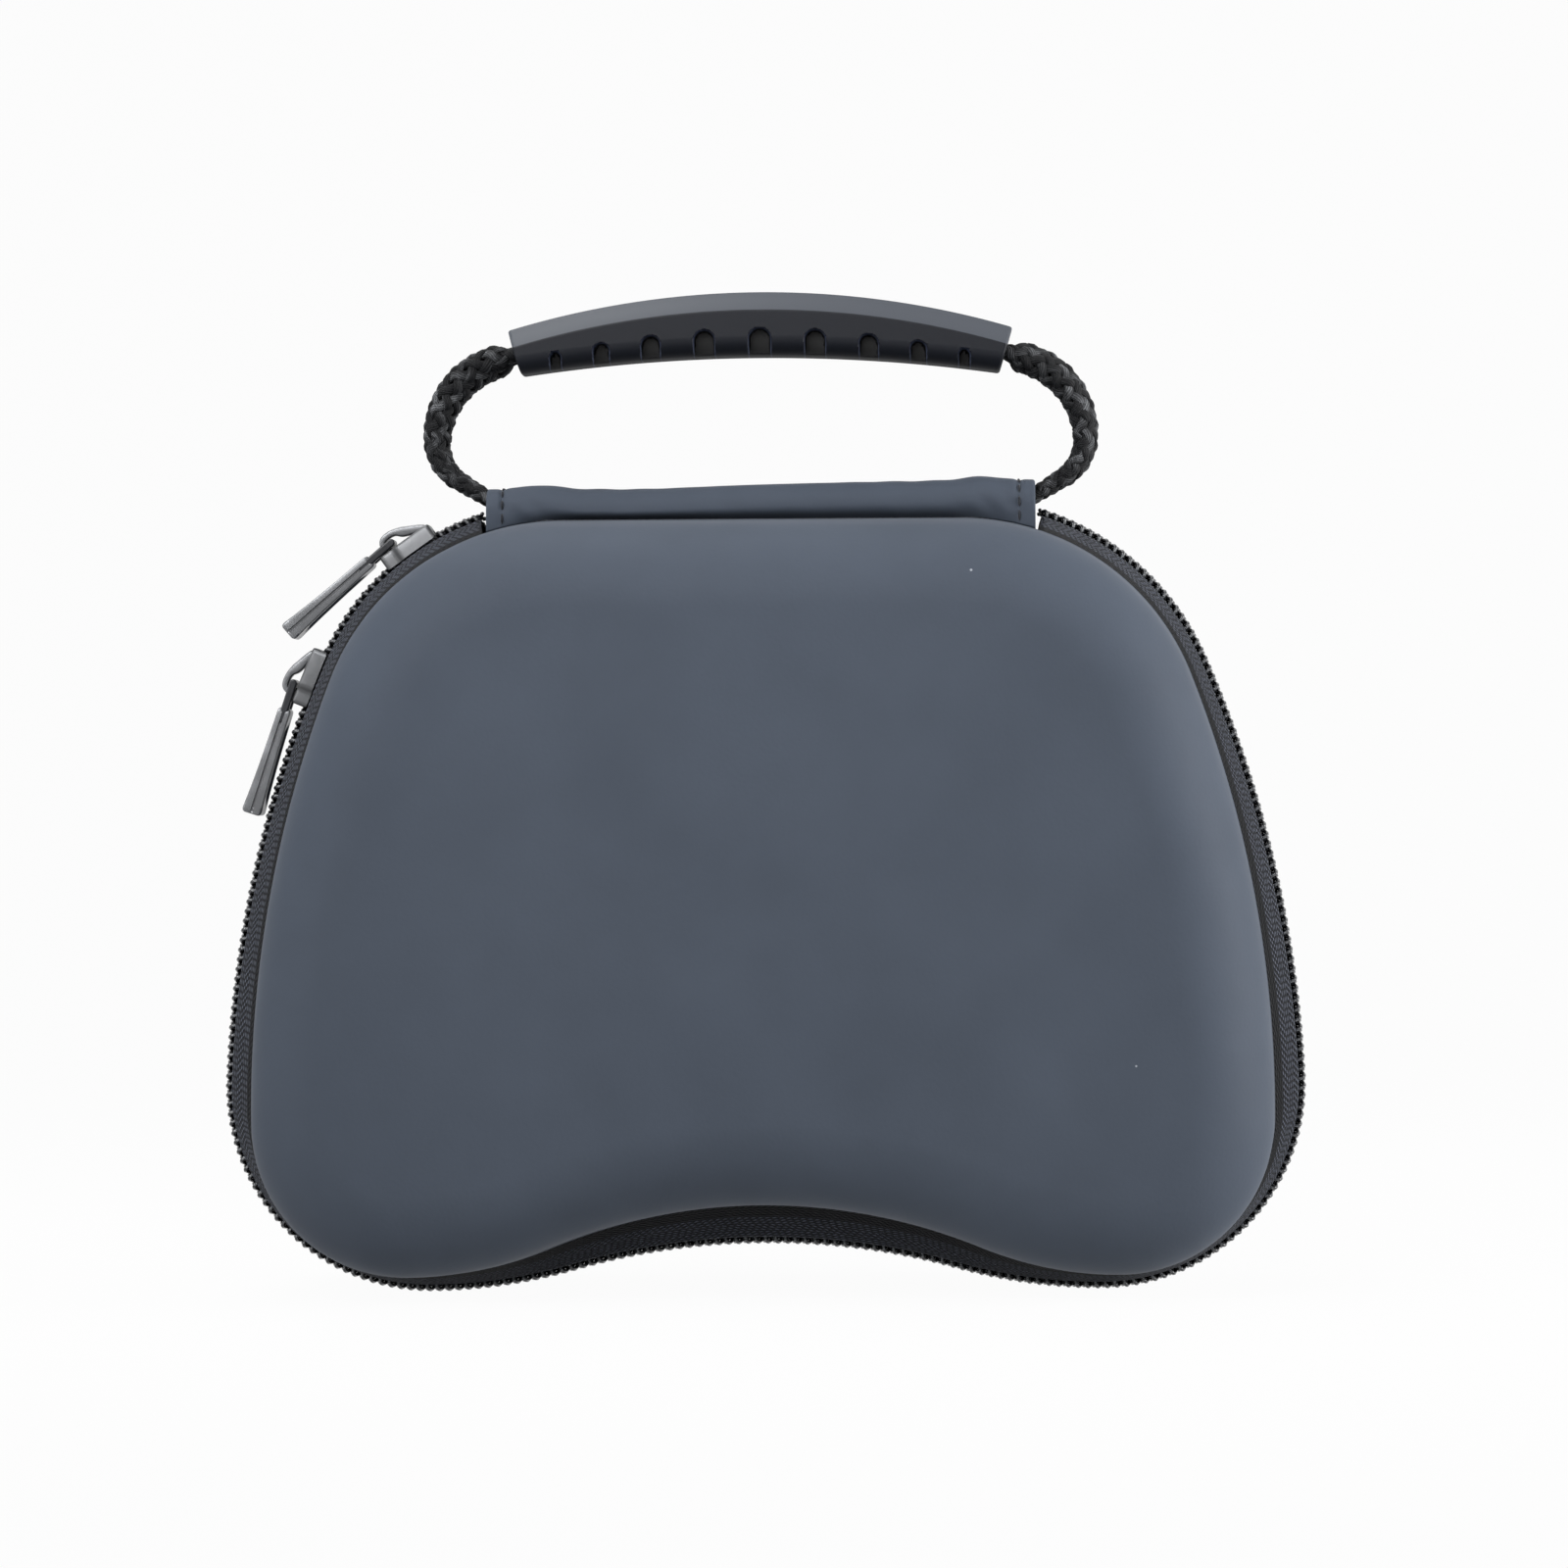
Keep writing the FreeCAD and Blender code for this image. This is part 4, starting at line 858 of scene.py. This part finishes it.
def grip(name):
    """Moulded grip: a bevelled section with a rounded underside carried along the top's arc.

    Between the arcs of the top and of the bottom the section's height changes with the angle. Each slot
    is a capsule seen from the front: where its distance is negative, the wall goes in to SLOT_FLOOR.
    """
    run = np.linspace(-GRIP_ANGLE, GRIP_ANGLE, 425) * GRIP_TOP_R
    edge = run[-1] - 0.5
    tips = edge + 0.5 * (1 - np.linspace(1, 0, 5) ** 2)
    angle = np.sort(np.concatenate([-tips, run[3:-3], tips])) / GRIP_TOP_R
    reach = GRIP_GAP * np.cos(angle) + np.sqrt(GRIP_BOTTOM_R ** 2 - (GRIP_GAP * np.sin(angle)) ** 2)
    tall = GRIP_TOP_R - reach
    under = np.linspace(0.0, PI / 2, 11)
    y = np.concatenate([np.linspace(0.0, 2.4, 6)[:-1], 2.6 + 4.4 * np.sin(under), np.full(22, 7.0), [6.98, 6.9],
                        [5.5, 4.1, 4.0, 2.0]])
    part = np.concatenate([np.zeros(5), np.sin(under) ** 6, np.full(22, 1.0), [1.05, 1.9], np.full(4, 2.0)])
    face = np.linspace(0, 1, 23)[1:]
    h = np.zeros((len(angle), len(y)))
    h[:, 5:16] = 3.0 - 3.0 * np.cos(under)
    h[:, 16:38] = 3.0 + (tall - BEVEL - 0.15 - 3.0)[:, None] * face
    h[:, 38:] = tall[:, None] - np.array([BEVEL, BEVEL - 0.12, 1.6, 0.12, 0.0, 0.0])
    pull_in = 0.4 * quarter(np.clip((np.abs(angle) * GRIP_TOP_R - edge) / 0.5, 0, 1))
    deep = np.broadcast_to(y, h.shape) - pull_in[:, None] * (y > 3.0)
    h = h + pull_in[:, None] * np.clip(1 - 2 * h / tall[:, None], -1, 1)
    x = (reach[:, None] + h) * np.sin(angle)[:, None]
    mask = np.zeros_like(h)
    for sx, wide, high in SLOTS:
        off = np.abs(x) - sx
        over = np.maximum(h - (high - wide / 2), 0.0)
        mask = np.maximum(mask, np.clip(0.5 - (np.hypot(off, over) - wide / 2) / 0.3, 0, 1))
    deep = deep - mask * np.maximum(deep - SLOT_FLOOR, 0.0)

    def whole(half, sign=1):
        """Both faces of the section: its half and the reflection, without the middle of the underside again."""
        return np.concatenate([half, sign * half[:, :0:-1]], 1)

    radius = reach[:, None] + whole(h)
    points = np.stack([radius * np.sin(angle)[:, None], whole(deep, -1),
                       GRIP_CENTRE_Z + radius * np.cos(angle)[:, None]], -1)
    # The map carries the part of the section (underside, face, bevel), which sets the roughness and the bevel's
    # painted highlight, and the slot mask, which places the painted highlight on the slots' rims and the painted
    # shade inside them.
    uv = np.stack([whole(np.broadcast_to(part, h.shape)), whole(mask)], -1).reshape(-1, 2)
    thing = outward(put_mesh(name, points, tube_faces(*radius.shape), uv=uv))
    thing.data.set_sharp_from_angle(angle=math.radians(35.0))
    return thing


def cord_path(step=0.12):
    """Middle line of the webbing from the left tuck to the right one: straights and tangent arcs.

    Four millimetres under the grip's top, round a shoulder, straight down, round a foot into a slant
    of 31 degrees that goes in at the sleeve's end, and level inside the sleeve.
    """
    g, r = GRIP_ANGLE, GRIP_TOP_R - 4.0
    end_x, end_z = r * math.sin(g), GRIP_CENTRE_Z + r * math.cos(g)
    reach, shoulder, foot, tilt = 54.8, 14.0, 8.0, math.radians(31.0)
    slant = (reach - end_x - shoulder * (1 - math.sin(g))) / math.cos(g)
    sx, sz = end_x + slant * math.cos(g), end_z - slant * math.sin(g)
    bx, bz = sx - shoulder * math.sin(g), sz - shoulder * math.cos(g)
    fx = reach - foot
    mouth_x, mouth_z = SLEEVE_END + 0.2, AXIS_Z + 0.45
    tuck_x, tuck_z = SLEEVE_END - 1.4, AXIS_Z - 0.2
    leave_x = fx + foot * math.sin(tilt)
    leave_z = mouth_z + (leave_x - mouth_x) * math.tan(tilt)
    fz = leave_z + foot * math.cos(tilt)

    def arc(cx, cz, radius, a0, a1):
        n = max(3, int(abs(a1 - a0) * radius / step))
        a = np.linspace(a0, a1, n)
        return np.stack([cx + radius * np.cos(a), cz + radius * np.sin(a)], 1)

    def line(p, q):
        n = max(2, int(math.dist(p, q) / step))
        return np.linspace(p, q, n)

    right = [arc(0, GRIP_CENTRE_Z, r, PI / 2, PI / 2 - g), line((end_x, end_z), (sx, sz)),
             arc(bx, bz, shoulder, PI / 2 - g, 0.0), line((reach, bz), (reach, fz)),
             arc(fx, fz, foot, 0.0, tilt - PI / 2), line((leave_x, leave_z), (mouth_x, mouth_z)),
             line((mouth_x, mouth_z), (tuck_x, tuck_z)),
             line((tuck_x, tuck_z), (SLEEVE_END - WEBBING_TUCK, tuck_z))]
    path = np.concatenate(right)
    keep = np.concatenate([[True], np.hypot(*np.diff(path, axis=0).T) > 1e-6])
    path = relaxed(path[keep], 12)
    return np.concatenate([path[:0:-1] * [-1, 1], path])


def squared(a, power):
    """Cosine and sine of an angle raised to a power with their signs kept: a circle drawn out to a rounded box."""
    return [np.sign(c) * np.abs(c) ** power for c in (np.cos(a), np.sin(a))]


def webbing(name):
    """Braided webbing: twelve flat strands that wind round the loop, six each way.

    A strand is an ellipse carried along a helix on a rounded-box section; its distance from the
    section goes in and out as a cosine, with the other family's sign turned, so the strands pass
    over and under in turn. The section thickens from the sleeve to the grip and twists a little.
    """
    path = cord_path()
    run = travelled(path)
    s = np.linspace(0, run[-1], int(run[-1] / 0.42))
    px, pz = np.interp(s, run, path[:, 0]), np.interp(s, run, path[:, 1])
    tx, tz = np.gradient(px), np.gradient(pz)
    size = np.hypot(tx, tz)
    nx, nz = -tz / size, tx / size
    away = np.abs(s - run[-1] / 2)
    rise = np.clip((run[-1] / 2 - away - WEBBING_TUCK) / 26.0, 0, 1)
    out_of_grip = np.clip((away - GRIP_REACH - 0.2) / 2.2, 0, 1)
    thick = 0.72 + 0.95 * rise ** 1.3 * out_of_grip
    wide = 2.9 + 0.1 * rise
    twist = 0.30 * np.sin(rise * PI / 2) * out_of_grip * np.sign(s - run[-1] / 2)
    each = 6
    lay = sizes().braid * each
    # Lumps on the inner side of the loop, one a pitch.
    knob = 0.55 * np.abs(np.sin(PI * s / sizes().braid)) ** 0.7 * out_of_grip * np.clip(rise * 1.6, 0, 1)
    strands, outs = [], []
    for family in (1.0, -1.0):
        for k in range(each):
            by, bn = squared(family * 2 * PI * s / lay + 2 * PI * k / each, 0.72)
            oy, on = by * thick, bn * wide
            length = np.hypot(oy, on)
            oy, on = oy / length, on / length
            lift = family * 0.27 * np.cos(2 * PI * each * s / lay)
            y = by * wide + lift * oy
            n = bn * thick + lift * on
            n = n - knob * np.clip(-n / thick, 0, 1)
            y, n = y * np.cos(twist) - n * np.sin(twist), y * np.sin(twist) + n * np.cos(twist)
            oy, on = oy * np.cos(twist) - on * np.sin(twist), oy * np.sin(twist) + on * np.cos(twist)
            strands.append(np.stack([px + n * nx, y, pz + n * nz], 1))
            outs.append(np.stack([on * nx, oy, on * nz], 1))
    points = np.concatenate([tube(p, o, 0.84, 0.50, 8) for p, o in zip(strands, outs)])
    one = grid_map(s, np.linspace(0, STRAND_GIRTH, 8, endpoint=False))
    uv = np.concatenate([one + [0.0, 7.0 * k] for k in range(2 * each)])
    return outward(put_mesh(name, points, tube_faces(len(s), 8, 2 * each), uv=uv))


# ---- sliders

# The pulls' pins in the front view; how far each pull leans in; the pin's place on its slider; the arc under it.
PINS = {"upper": (-62.41567, 126.23253), "lower": (-79.04782, 102.69805)}
TOE_IN = {"upper": 5.6, "lower": 4.3}
PIN_BACK, PIN_OUT = 1.9, 2.5
SLIDER_ARC = {"upper": 4, "lower": 3}


def slider_frame(which):
    """Point on the zip line under the slider, the way to the sleeve and the way out, in the front view."""
    arc = ZIP_LINE.arcs[SLIDER_ARC[which]]
    centre = np.array([-arc[0], arc[1]])
    pin = np.array(PINS[which]) - centre
    angle = math.atan2(pin[1], pin[0]) - math.atan(PIN_BACK / (arc[2] + PIN_OUT))
    out = np.array([math.cos(angle), math.sin(angle)])
    return centre + arc[2] * out, np.array([out[1], -out[0]]), out, angle


def set_in(local, origin, along, out):
    """Points given along, across and out of a frame in the front view, put into the case's frame."""
    x = origin[0] + local[..., 0] * along[0] + local[..., 2] * out[0]
    z = origin[1] + local[..., 0] * along[1] + local[..., 2] * out[1]
    return np.stack([x, local[..., 1], z], -1)


def lofted(name, rings, bevel=0.0):
    """Closed skin over a stack of closed rings, with flat ends."""
    thing = outward(put_mesh(name, rings, tube_faces(*rings.shape[:2])))
    if bevel:
        soften(thing, bevel, 3, 32.0)
    thing.data.set_sharp_from_angle(angle=math.radians(40.0))
    return thing


def on_slider(which, piece, local, bevel=0.0):
    """Skin of one of a slider's pieces, set in the slider's frame."""
    return lofted(which + piece, set_in(local, *slider_frame(which)[:3]), bevel)


def bar(x, half, low, high):
    """Box section at each x: half its width, and its lower and upper faces."""
    y = half[:, None] * np.array([-1.0, 1.0, 1.0, -1.0])
    return stations(x, y, np.broadcast_to([low, low, high, high], y.shape))


def slider_wings(which):
    """Outer plate and its lips: a crowned C section carried along the slider, broad at the sleeve's end.

    The lips lean out towards their foot; the plate's half width steps down by a smooth cubic to the tail.
    """
    x = np.concatenate([np.linspace(-5, -4.2, 7), np.linspace(-4.0, 4.0, 33), np.linspace(4.2, 5, 7)])
    t = np.clip((x + 2.7) / 1.3, 0, 1)
    end = quarter((np.abs(x) - 4.2) / 0.8)
    half = 3.45 + 1.05 * t * t * (3 - 2 * t) - 0.8 * end
    top = 1.5 - 0.22 * end
    foot = -1.2 + 0.35 * end
    share = np.array([[-1.0, 0.0], [-0.995, 0.06], [-0.965, 0.45], [-0.93, 0.80], [-0.91, 0.90], [-0.86, 0.98],
                      [-0.78, 1.0], [0.0, 1.02]])
    side = np.concatenate([share, share[-2::-1] * [-1, 1]])
    outer_y = side[None, :, 0] * half[:, None]
    outer_z = foot[:, None] + side[None, :, 1] * (top - foot)[:, None]
    inner_y = np.array([1.0, 1.0, -1.0, -1.0])[None] * (half[:, None] - 1.15)
    inner_z = np.stack([foot, np.full_like(x, 0.3), np.full_like(x, 0.3), foot], 1)
    local = stations(x, np.concatenate([outer_y, inner_y], 1), np.concatenate([outer_z, inner_z], 1))
    return on_slider(which, "_slider_wings", local, 0.16)


def slider_keel(which):
    """Inner plate under the tapes, with rounded ends."""
    x = np.concatenate([np.linspace(-5, -4.0, 8), np.linspace(4.0, 5, 8)])
    return on_slider(which, "_slider_keel", bar(x, 4.5 - quarter(np.abs(x) - 4.0), -4.1, -2.9), 0.25)


def slider_post(which):
    """Post between the plates, between the two rows at the sleeve's end, with a pointed nose."""
    x, half = np.array([[2.0, 2.25, 2.7, 4.6, 4.9], [0.2, 0.55, 0.8, 0.8, 0.6]])
    return on_slider(which, "_slider_post", bar(x, half, -3.2, 0.6))


def slider_strap(which):
    """Bridge over the plate: a rounded strap carried along an arch, thin at the pull, broad at the sleeve."""
    knots = np.array([[-3.5, 1.2, 1.0], [-3.5, 1.9, 1.0], [-3.5, 2.6, 1.0], [-3.35, 3.25, 1.0], [-2.9, 3.75, 1.05],
                      [-2.2, 3.92, 1.1], [-1.2, 3.90, 1.1], [-0.3, 3.66, 1.2], [0.5, 3.12, 1.75], [1.3, 2.70, 1.65],
                      [2.2, 2.35, 1.5], [3.2, 1.9, 1.3], [3.9, 1.5, 1.2], [4.1, 1.2, 1.2]])
    run = travelled(knots[:, :2])
    spots = np.linspace(0, run[-1], 60)
    x, z, depth = relaxed(np.stack([np.interp(spots, run, c) for c in knots.T], 1), 3).T[:, :, None]
    tx, tz = np.gradient(x, axis=0), np.gradient(z, axis=0)
    size = np.hypot(tx, tz)
    across, up = squared(np.linspace(0, 2 * PI, 24, endpoint=False), 0.4)
    up = 0.5 * up
    local = np.stack([x - tz / size * up * depth, np.broadcast_to(1.3 * across, (60, 24)),
                      z + tx / size * up * depth], -1)
    return on_slider(which, "_slider_strap", local)


def pull_grip(which):
    """Pull tab: an H section, grooved along both edges and dished on both faces, thickening to its tip.

    The half thickness grows from 1.1 to 1.7 mm, faster towards the tip; the ends are rounded.
    """
    s = np.concatenate([np.linspace(4.4, 5.2, 6), np.linspace(5.5, 21.5, 34), np.linspace(21.8, 23.1, 9)])
    t = (s - 4.4) / 18.7
    root = quarter((5.2 - s) / 0.8)
    tip = quarter((s - 22.2) / 0.9)
    thick = 1.08 + 0.14 * t + 0.48 * t ** 3 - 0.45 * root - 0.5 * tip
    wide = 2.7 + 0.8 * np.clip(t * 1.6, 0, 1) ** 0.7 - 0.5 * root - 0.3 * tip
    dish = 0.30 * np.clip((s - 6.4) / 2.0, 0, 1) * np.clip((21.6 - s) / 2.0, 0, 1)
    groove = 0.55 * np.clip((s - 4.8) / 1.5, 0, 1) * np.clip((22.9 - s) / 0.8, 0, 1)
    rim = ((1.0, 0.75), (0.985, 0.92), (0.94, 1.0), (0.80, 1.0))
    y = np.stack([wide - groove, wide - groove, wide] + [wide * r[0] for r in rim] + [wide * 0.66, wide * 0.0], 1)
    z = [0 * thick, 0 * thick + 0.16, 0 * thick + 0.24] + [thick * r[1] for r in rim] + [thick - dish] * 2
    z = np.stack(z, 1)
    y, z = mirrored(y), mirrored(z, 1)
    y = np.concatenate([y, y[:, -2:0:-1]], 1)
    z = np.concatenate([z, -z[:, -2:0:-1]], 1)
    angle = slider_frame(which)[3] + PI / 2 + math.radians(TOE_IN[which])
    along = np.array([math.cos(angle), math.sin(angle)])
    return lofted(which + "_pull_grip", set_in(stations(s, y, z), PINS[which], along, [-along[1], along[0]]))


# ---- pocket

# The net: its depth, foot, top and inset; half a bar's depth.
NET_Y, NET_FOOT, NET_TOP, NET_INSET, BAR_HALF = -12.9, 7.0, 83.6, 4.6, 0.16


def net(name):
    """Hexagonal net: thin bars round every cell whose middle is inside the wall's outline."""
    def close(shape):
        bmesh.ops.remove_doubles(shape, verts=shape.verts, dist=2e-5)
        rim = [e for e in shape.edges if len(e.link_faces) == 1]
        bmesh.ops.holes_fill(shape, edges=rim, sides=4)

    cell = sizes().net
    i, j = (c.ravel() for c in np.meshgrid(np.arange(-26, 27), np.arange(0, 34), indexing="ij"))
    cx = (i + 0.5 * (j % 2)) * cell
    cz = NET_FOOT + j * cell * math.sqrt(3) / 2
    keep = inside(cx, cz, *RIM_LINE.ring(NET_INSET)[:2]) & (cz < NET_TOP)
    cx, cz = cx[keep, None], cz[keep, None]
    a = np.arange(6) * PI / 3 + PI / 6
    outer = cell / math.sqrt(3)
    inner = outer * 0.80
    parts = []
    for r, dy in ((outer, -BAR_HALF), (outer, BAR_HALF), (inner, BAR_HALF), (inner, -BAR_HALF)):
        parts.append(at_depth((cx + r * np.cos(a), cz + r * np.sin(a)), NET_Y + dy))
    k = np.arange(6)
    m = (k + 1) % 6
    bars = np.concatenate([np.stack([p * 6 + k, p * 6 + m, q * 6 + m, q * 6 + k], 1)
                           for p, q in ((1, 2), (2, 3), (3, 0))])
    quads = (bars[None] + (np.arange(len(cx)) * 24)[:, None, None]).reshape(-1, 4)
    return outward(put_mesh(name, np.stack(parts, 1), [quads], smooth=False), close)


def inside(px, pz, x, z):
    """Even-odd test of points against a closed line."""
    x2, z2 = np.roll(x, -1), np.roll(z, -1)
    cross = (z[None] > pz[:, None]) != (z2[None] > pz[:, None])
    span = np.where(np.abs(z2 - z) < 1e-9, 1e-9, z2 - z)
    at = x[None] + (pz[:, None] - z[None]) * ((x2 - x) / span)[None]
    return (np.sum(cross & (px[:, None] < at), 1) % 2) == 1


# ---- operators

SIDES = ((-1, "front"), (1, "back"))


class CASE_OT_shells(bpy.types.Operator):
    """Build both leather shells with their knitted inside"""
    bl_idname = "case.shells"
    bl_label = "Shells"

    def execute(self, context):
        for side, half in SIDES:
            skin = shell(side, half + "_shell_skin")
            finish(skin, half + "_half", "shell_leather", half + "_shell", inner="lining")
        return {"FINISHED"}


class CASE_OT_zip(bpy.types.Operator):
    """Build the zip's tapes and its two rows of coil"""
    bl_idname = "case.zip"
    bl_label = "Zip"

    def execute(self, context):
        for side, half in SIDES:
            finish(tape(side, half + "_tape_twill"), half + "_half", "tape_cloth", "zipper_tape_" + half)
        for side, half in SIDES:
            finish(coil(side, half + "_coil_row"), half + "_half", "coil_nylon", "zipper_teeth_" + half)
        return {"FINISHED"}


class CASE_OT_sleeve(bpy.types.Operator):
    """Build the leather hinge sleeve, its stitching and the strip under it"""
    bl_idname = "case.sleeve"
    bl_label = "Hinge sleeve"

    def execute(self, context):
        finish(sleeve("sleeve_hood"), "hinge_spine", "sleeve_leather", "hinge_sleeve")
        finish(sleeve_threads("sleeve_threads"), "hinge_spine", "thread", "sleeve_stitching")
        finish(refined("hinge_strip", "hinge_strip_cloth", 0.2), "hinge_spine", "strip_cloth", "hinge_strip")
        return {"FINISHED"}


class CASE_OT_handle(bpy.types.Operator):
    """Build the braided webbing and the slotted grip"""
    bl_idname = "case.handle"
    bl_label = "Handle"

    def execute(self, context):
        cord = finish(webbing("webbing_braid"), "", "webbing", "handle_cord")
        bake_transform(cord)
        finish(grip("grip_moulding"), "handle", "grip_rubber", "handle_grip")
        return {"FINISHED"}


class CASE_OT_sliders(bpy.types.Operator):
    """Build both sliders with their bridges, links and pulls"""
    bl_idname = "case.sliders"
    bl_label = "Sliders"

    def execute(self, context):
        for which in ("upper", "lower"):
            slider, pull = which + "_slider", which + "_pull"
            finish(slider_wings(which), slider, "slider_metal", slider + "_body")
            finish(slider_keel(which), slider, "slider_metal")
            finish(slider_post(which), slider, "slider_metal")
            finish(slider_strap(which), slider, "bridge_metal", slider + "_bridge")
            finish(refined(pull + "_link", pull + "_ring", 0.3, 3), pull, "link_metal", pull + "_link")
            finish(pull_grip(which), pull, "pull_metal", pull + "_tab")
        return {"FINISHED"}


class CASE_OT_inside(bpy.types.Operator):
    """Build the bindings, the net pocket and its hem"""
    bl_idname = "case.inside"
    bl_label = "Inside"

    def execute(self, context):
        for half in ("front", "back"):
            node = "inner_binding_" + half
            finish(refined(node, node + "_cloth", 0.2), half + "_half", "binding_cloth", node)
        mesh = finish(net("pocket_net"), "front_half", "net_cloth", "mesh_pocket")
        hem = finish(refined("pocket_hem", "pocket_hem_elastic", 0.5, 3), "front_half", "hem_elastic", "pocket_hem")
        return {"FINISHED"}


# What the picture is wide at the case, in metres, from a camera one metre away.
VIEW_WIDTH = 0.26424


class CASE_OT_studio(bpy.types.Operator):
    """Build the floor, backdrop, lamps, world and camera"""
    bl_idname = "case.studio"
    bl_label = "Studio"

    def execute(self, context):
        scene = context.scene
        scene.view_settings.view_transform = "Standard"
        paper = Finish("studio_paper", (0.6, 0.6, 0.6), 0.9)
        glow = paper.node("ShaderNodeEmission", Color=(1.0, 1.0, 1.0, 1.0), Strength=1.0)
        paper.surface("Material Output", paper.seen() * 0.96, paper.shader, glow)
        depth = np.concatenate([np.linspace(-1500, 700, 12), 700 + 500 * np.sin(np.linspace(0, PI / 2, 14))[1:],
                                np.full(4, 1200)])
        rise = np.concatenate([np.zeros(12), 500 - 500 * np.cos(np.linspace(0, PI / 2, 14))[1:],
                               np.linspace(700, 2200, 4)])
        wide = np.tile([-2600.0, 2600.0], len(depth))
        points = np.stack([wide, np.repeat(depth, 2), np.repeat(rise, 2)], -1)
        floor = put_mesh("studio_floor", points, [grid_faces(len(depth), 2)[:, ::-1]])
        floor.data.materials.append(paper.material)
        scene.world = bpy.data.worlds.new("studio_world")
        sky = Nodes(scene.world)
        dim = sky.tree.nodes["Background"]
        dim.inputs["Color"].default_value = (0.95, 0.97, 1.0, 1.0)
        dim.inputs["Strength"].default_value = 0.26
        white = sky.node("ShaderNodeBackground", Color=(1.0, 1.0, 1.0, 1.0), Strength=0.98)
        sky.surface("World Output", sky.seen(), dim, white)

        def lamp(name, place, aim, width, height, power, spread):
            data = bpy.data.lights.new(name, "AREA")
            data.spread = math.radians(spread)
            data.shape, data.size, data.size_y, data.energy = "RECTANGLE", width, height, power
            thing = put_object(name, data)
            thing.location = place
            thing.rotation_euler = (Vector(aim) - Vector(place)).to_track_quat("-Z", "Y").to_euler()

        lamp("key_softbox", (-0.16, -0.35, 0.355), (-0.01, -0.03, 0.15), 0.42, 0.22, 0.41, 66)
        lamp("overhead_strip", (-0.16, 0.05, 0.60), (-0.05, 0.02, 0.1), 0.5, 0.22, 1.5, 180)
        lamp("right_softbox", (0.78, -0.1, 0.2), (0, 0, 0.07), 0.4, 0.5, 8.5, 180)
        lamp("left_softbox", (-0.7, -0.4, 0.12), (0, 0, 0.06), 0.4, 0.5, 1.4, 180)
        camera = bpy.data.cameras.new("photo_camera")
        camera.sensor_width = 36.0
        camera.lens = camera.sensor_width / VIEW_WIDTH
        camera.clip_start, camera.clip_end = 0.01, 20.0
        eye = put_object("photo_camera", camera)
        eye.location = (0.0255, -1.0, 0.0852)
        eye.rotation_euler = (PI / 2, math.radians(0.35), math.atan(0.022))
        scene.camera = eye
        return {"FINISHED"}


class CASE_PT_build(bpy.types.Panel):
    """Buttons that build the case piece by piece"""
    bl_label = "Carrying case"
    bl_idname = "CASE_PT_build"
    bl_space_type = "VIEW_3D"
    bl_region_type = "UI"
    bl_category = "Case"

    def draw(self, context):
        column = self.layout.column()
        for key in CaseSizes.__annotations__:
            column.prop(context.scene.case_sizes, key)
        for key in CaseColours.__annotations__:
            column.prop(context.scene.case_colours, key)
        for operator in OPERATORS:
            column.operator(operator.bl_idname)


OPERATORS = (CASE_OT_studio, CASE_OT_shells, CASE_OT_zip, CASE_OT_sleeve, CASE_OT_handle, CASE_OT_sliders,
             CASE_OT_inside)
CLASSES = (CaseSizes, CaseColours) + OPERATORS + (CASE_PT_build,)


def register():
    for item in CLASSES:
        bpy.utils.register_class(item)
    bpy.types.Scene.case_sizes = bpy.props.PointerProperty(type=CaseSizes)
    bpy.types.Scene.case_colours = bpy.props.PointerProperty(type=CaseColours)


def unregister():
    del bpy.types.Scene.case_colours
    del bpy.types.Scene.case_sizes
    for item in reversed(CLASSES):
        bpy.utils.unregister_class(item)


def main():
    """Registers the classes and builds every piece."""
    register()
    for operator in OPERATORS:
        group, name = operator.bl_idname.split(".")
        getattr(getattr(bpy.ops, group), name)()


if __name__ == "__main__":
    main()
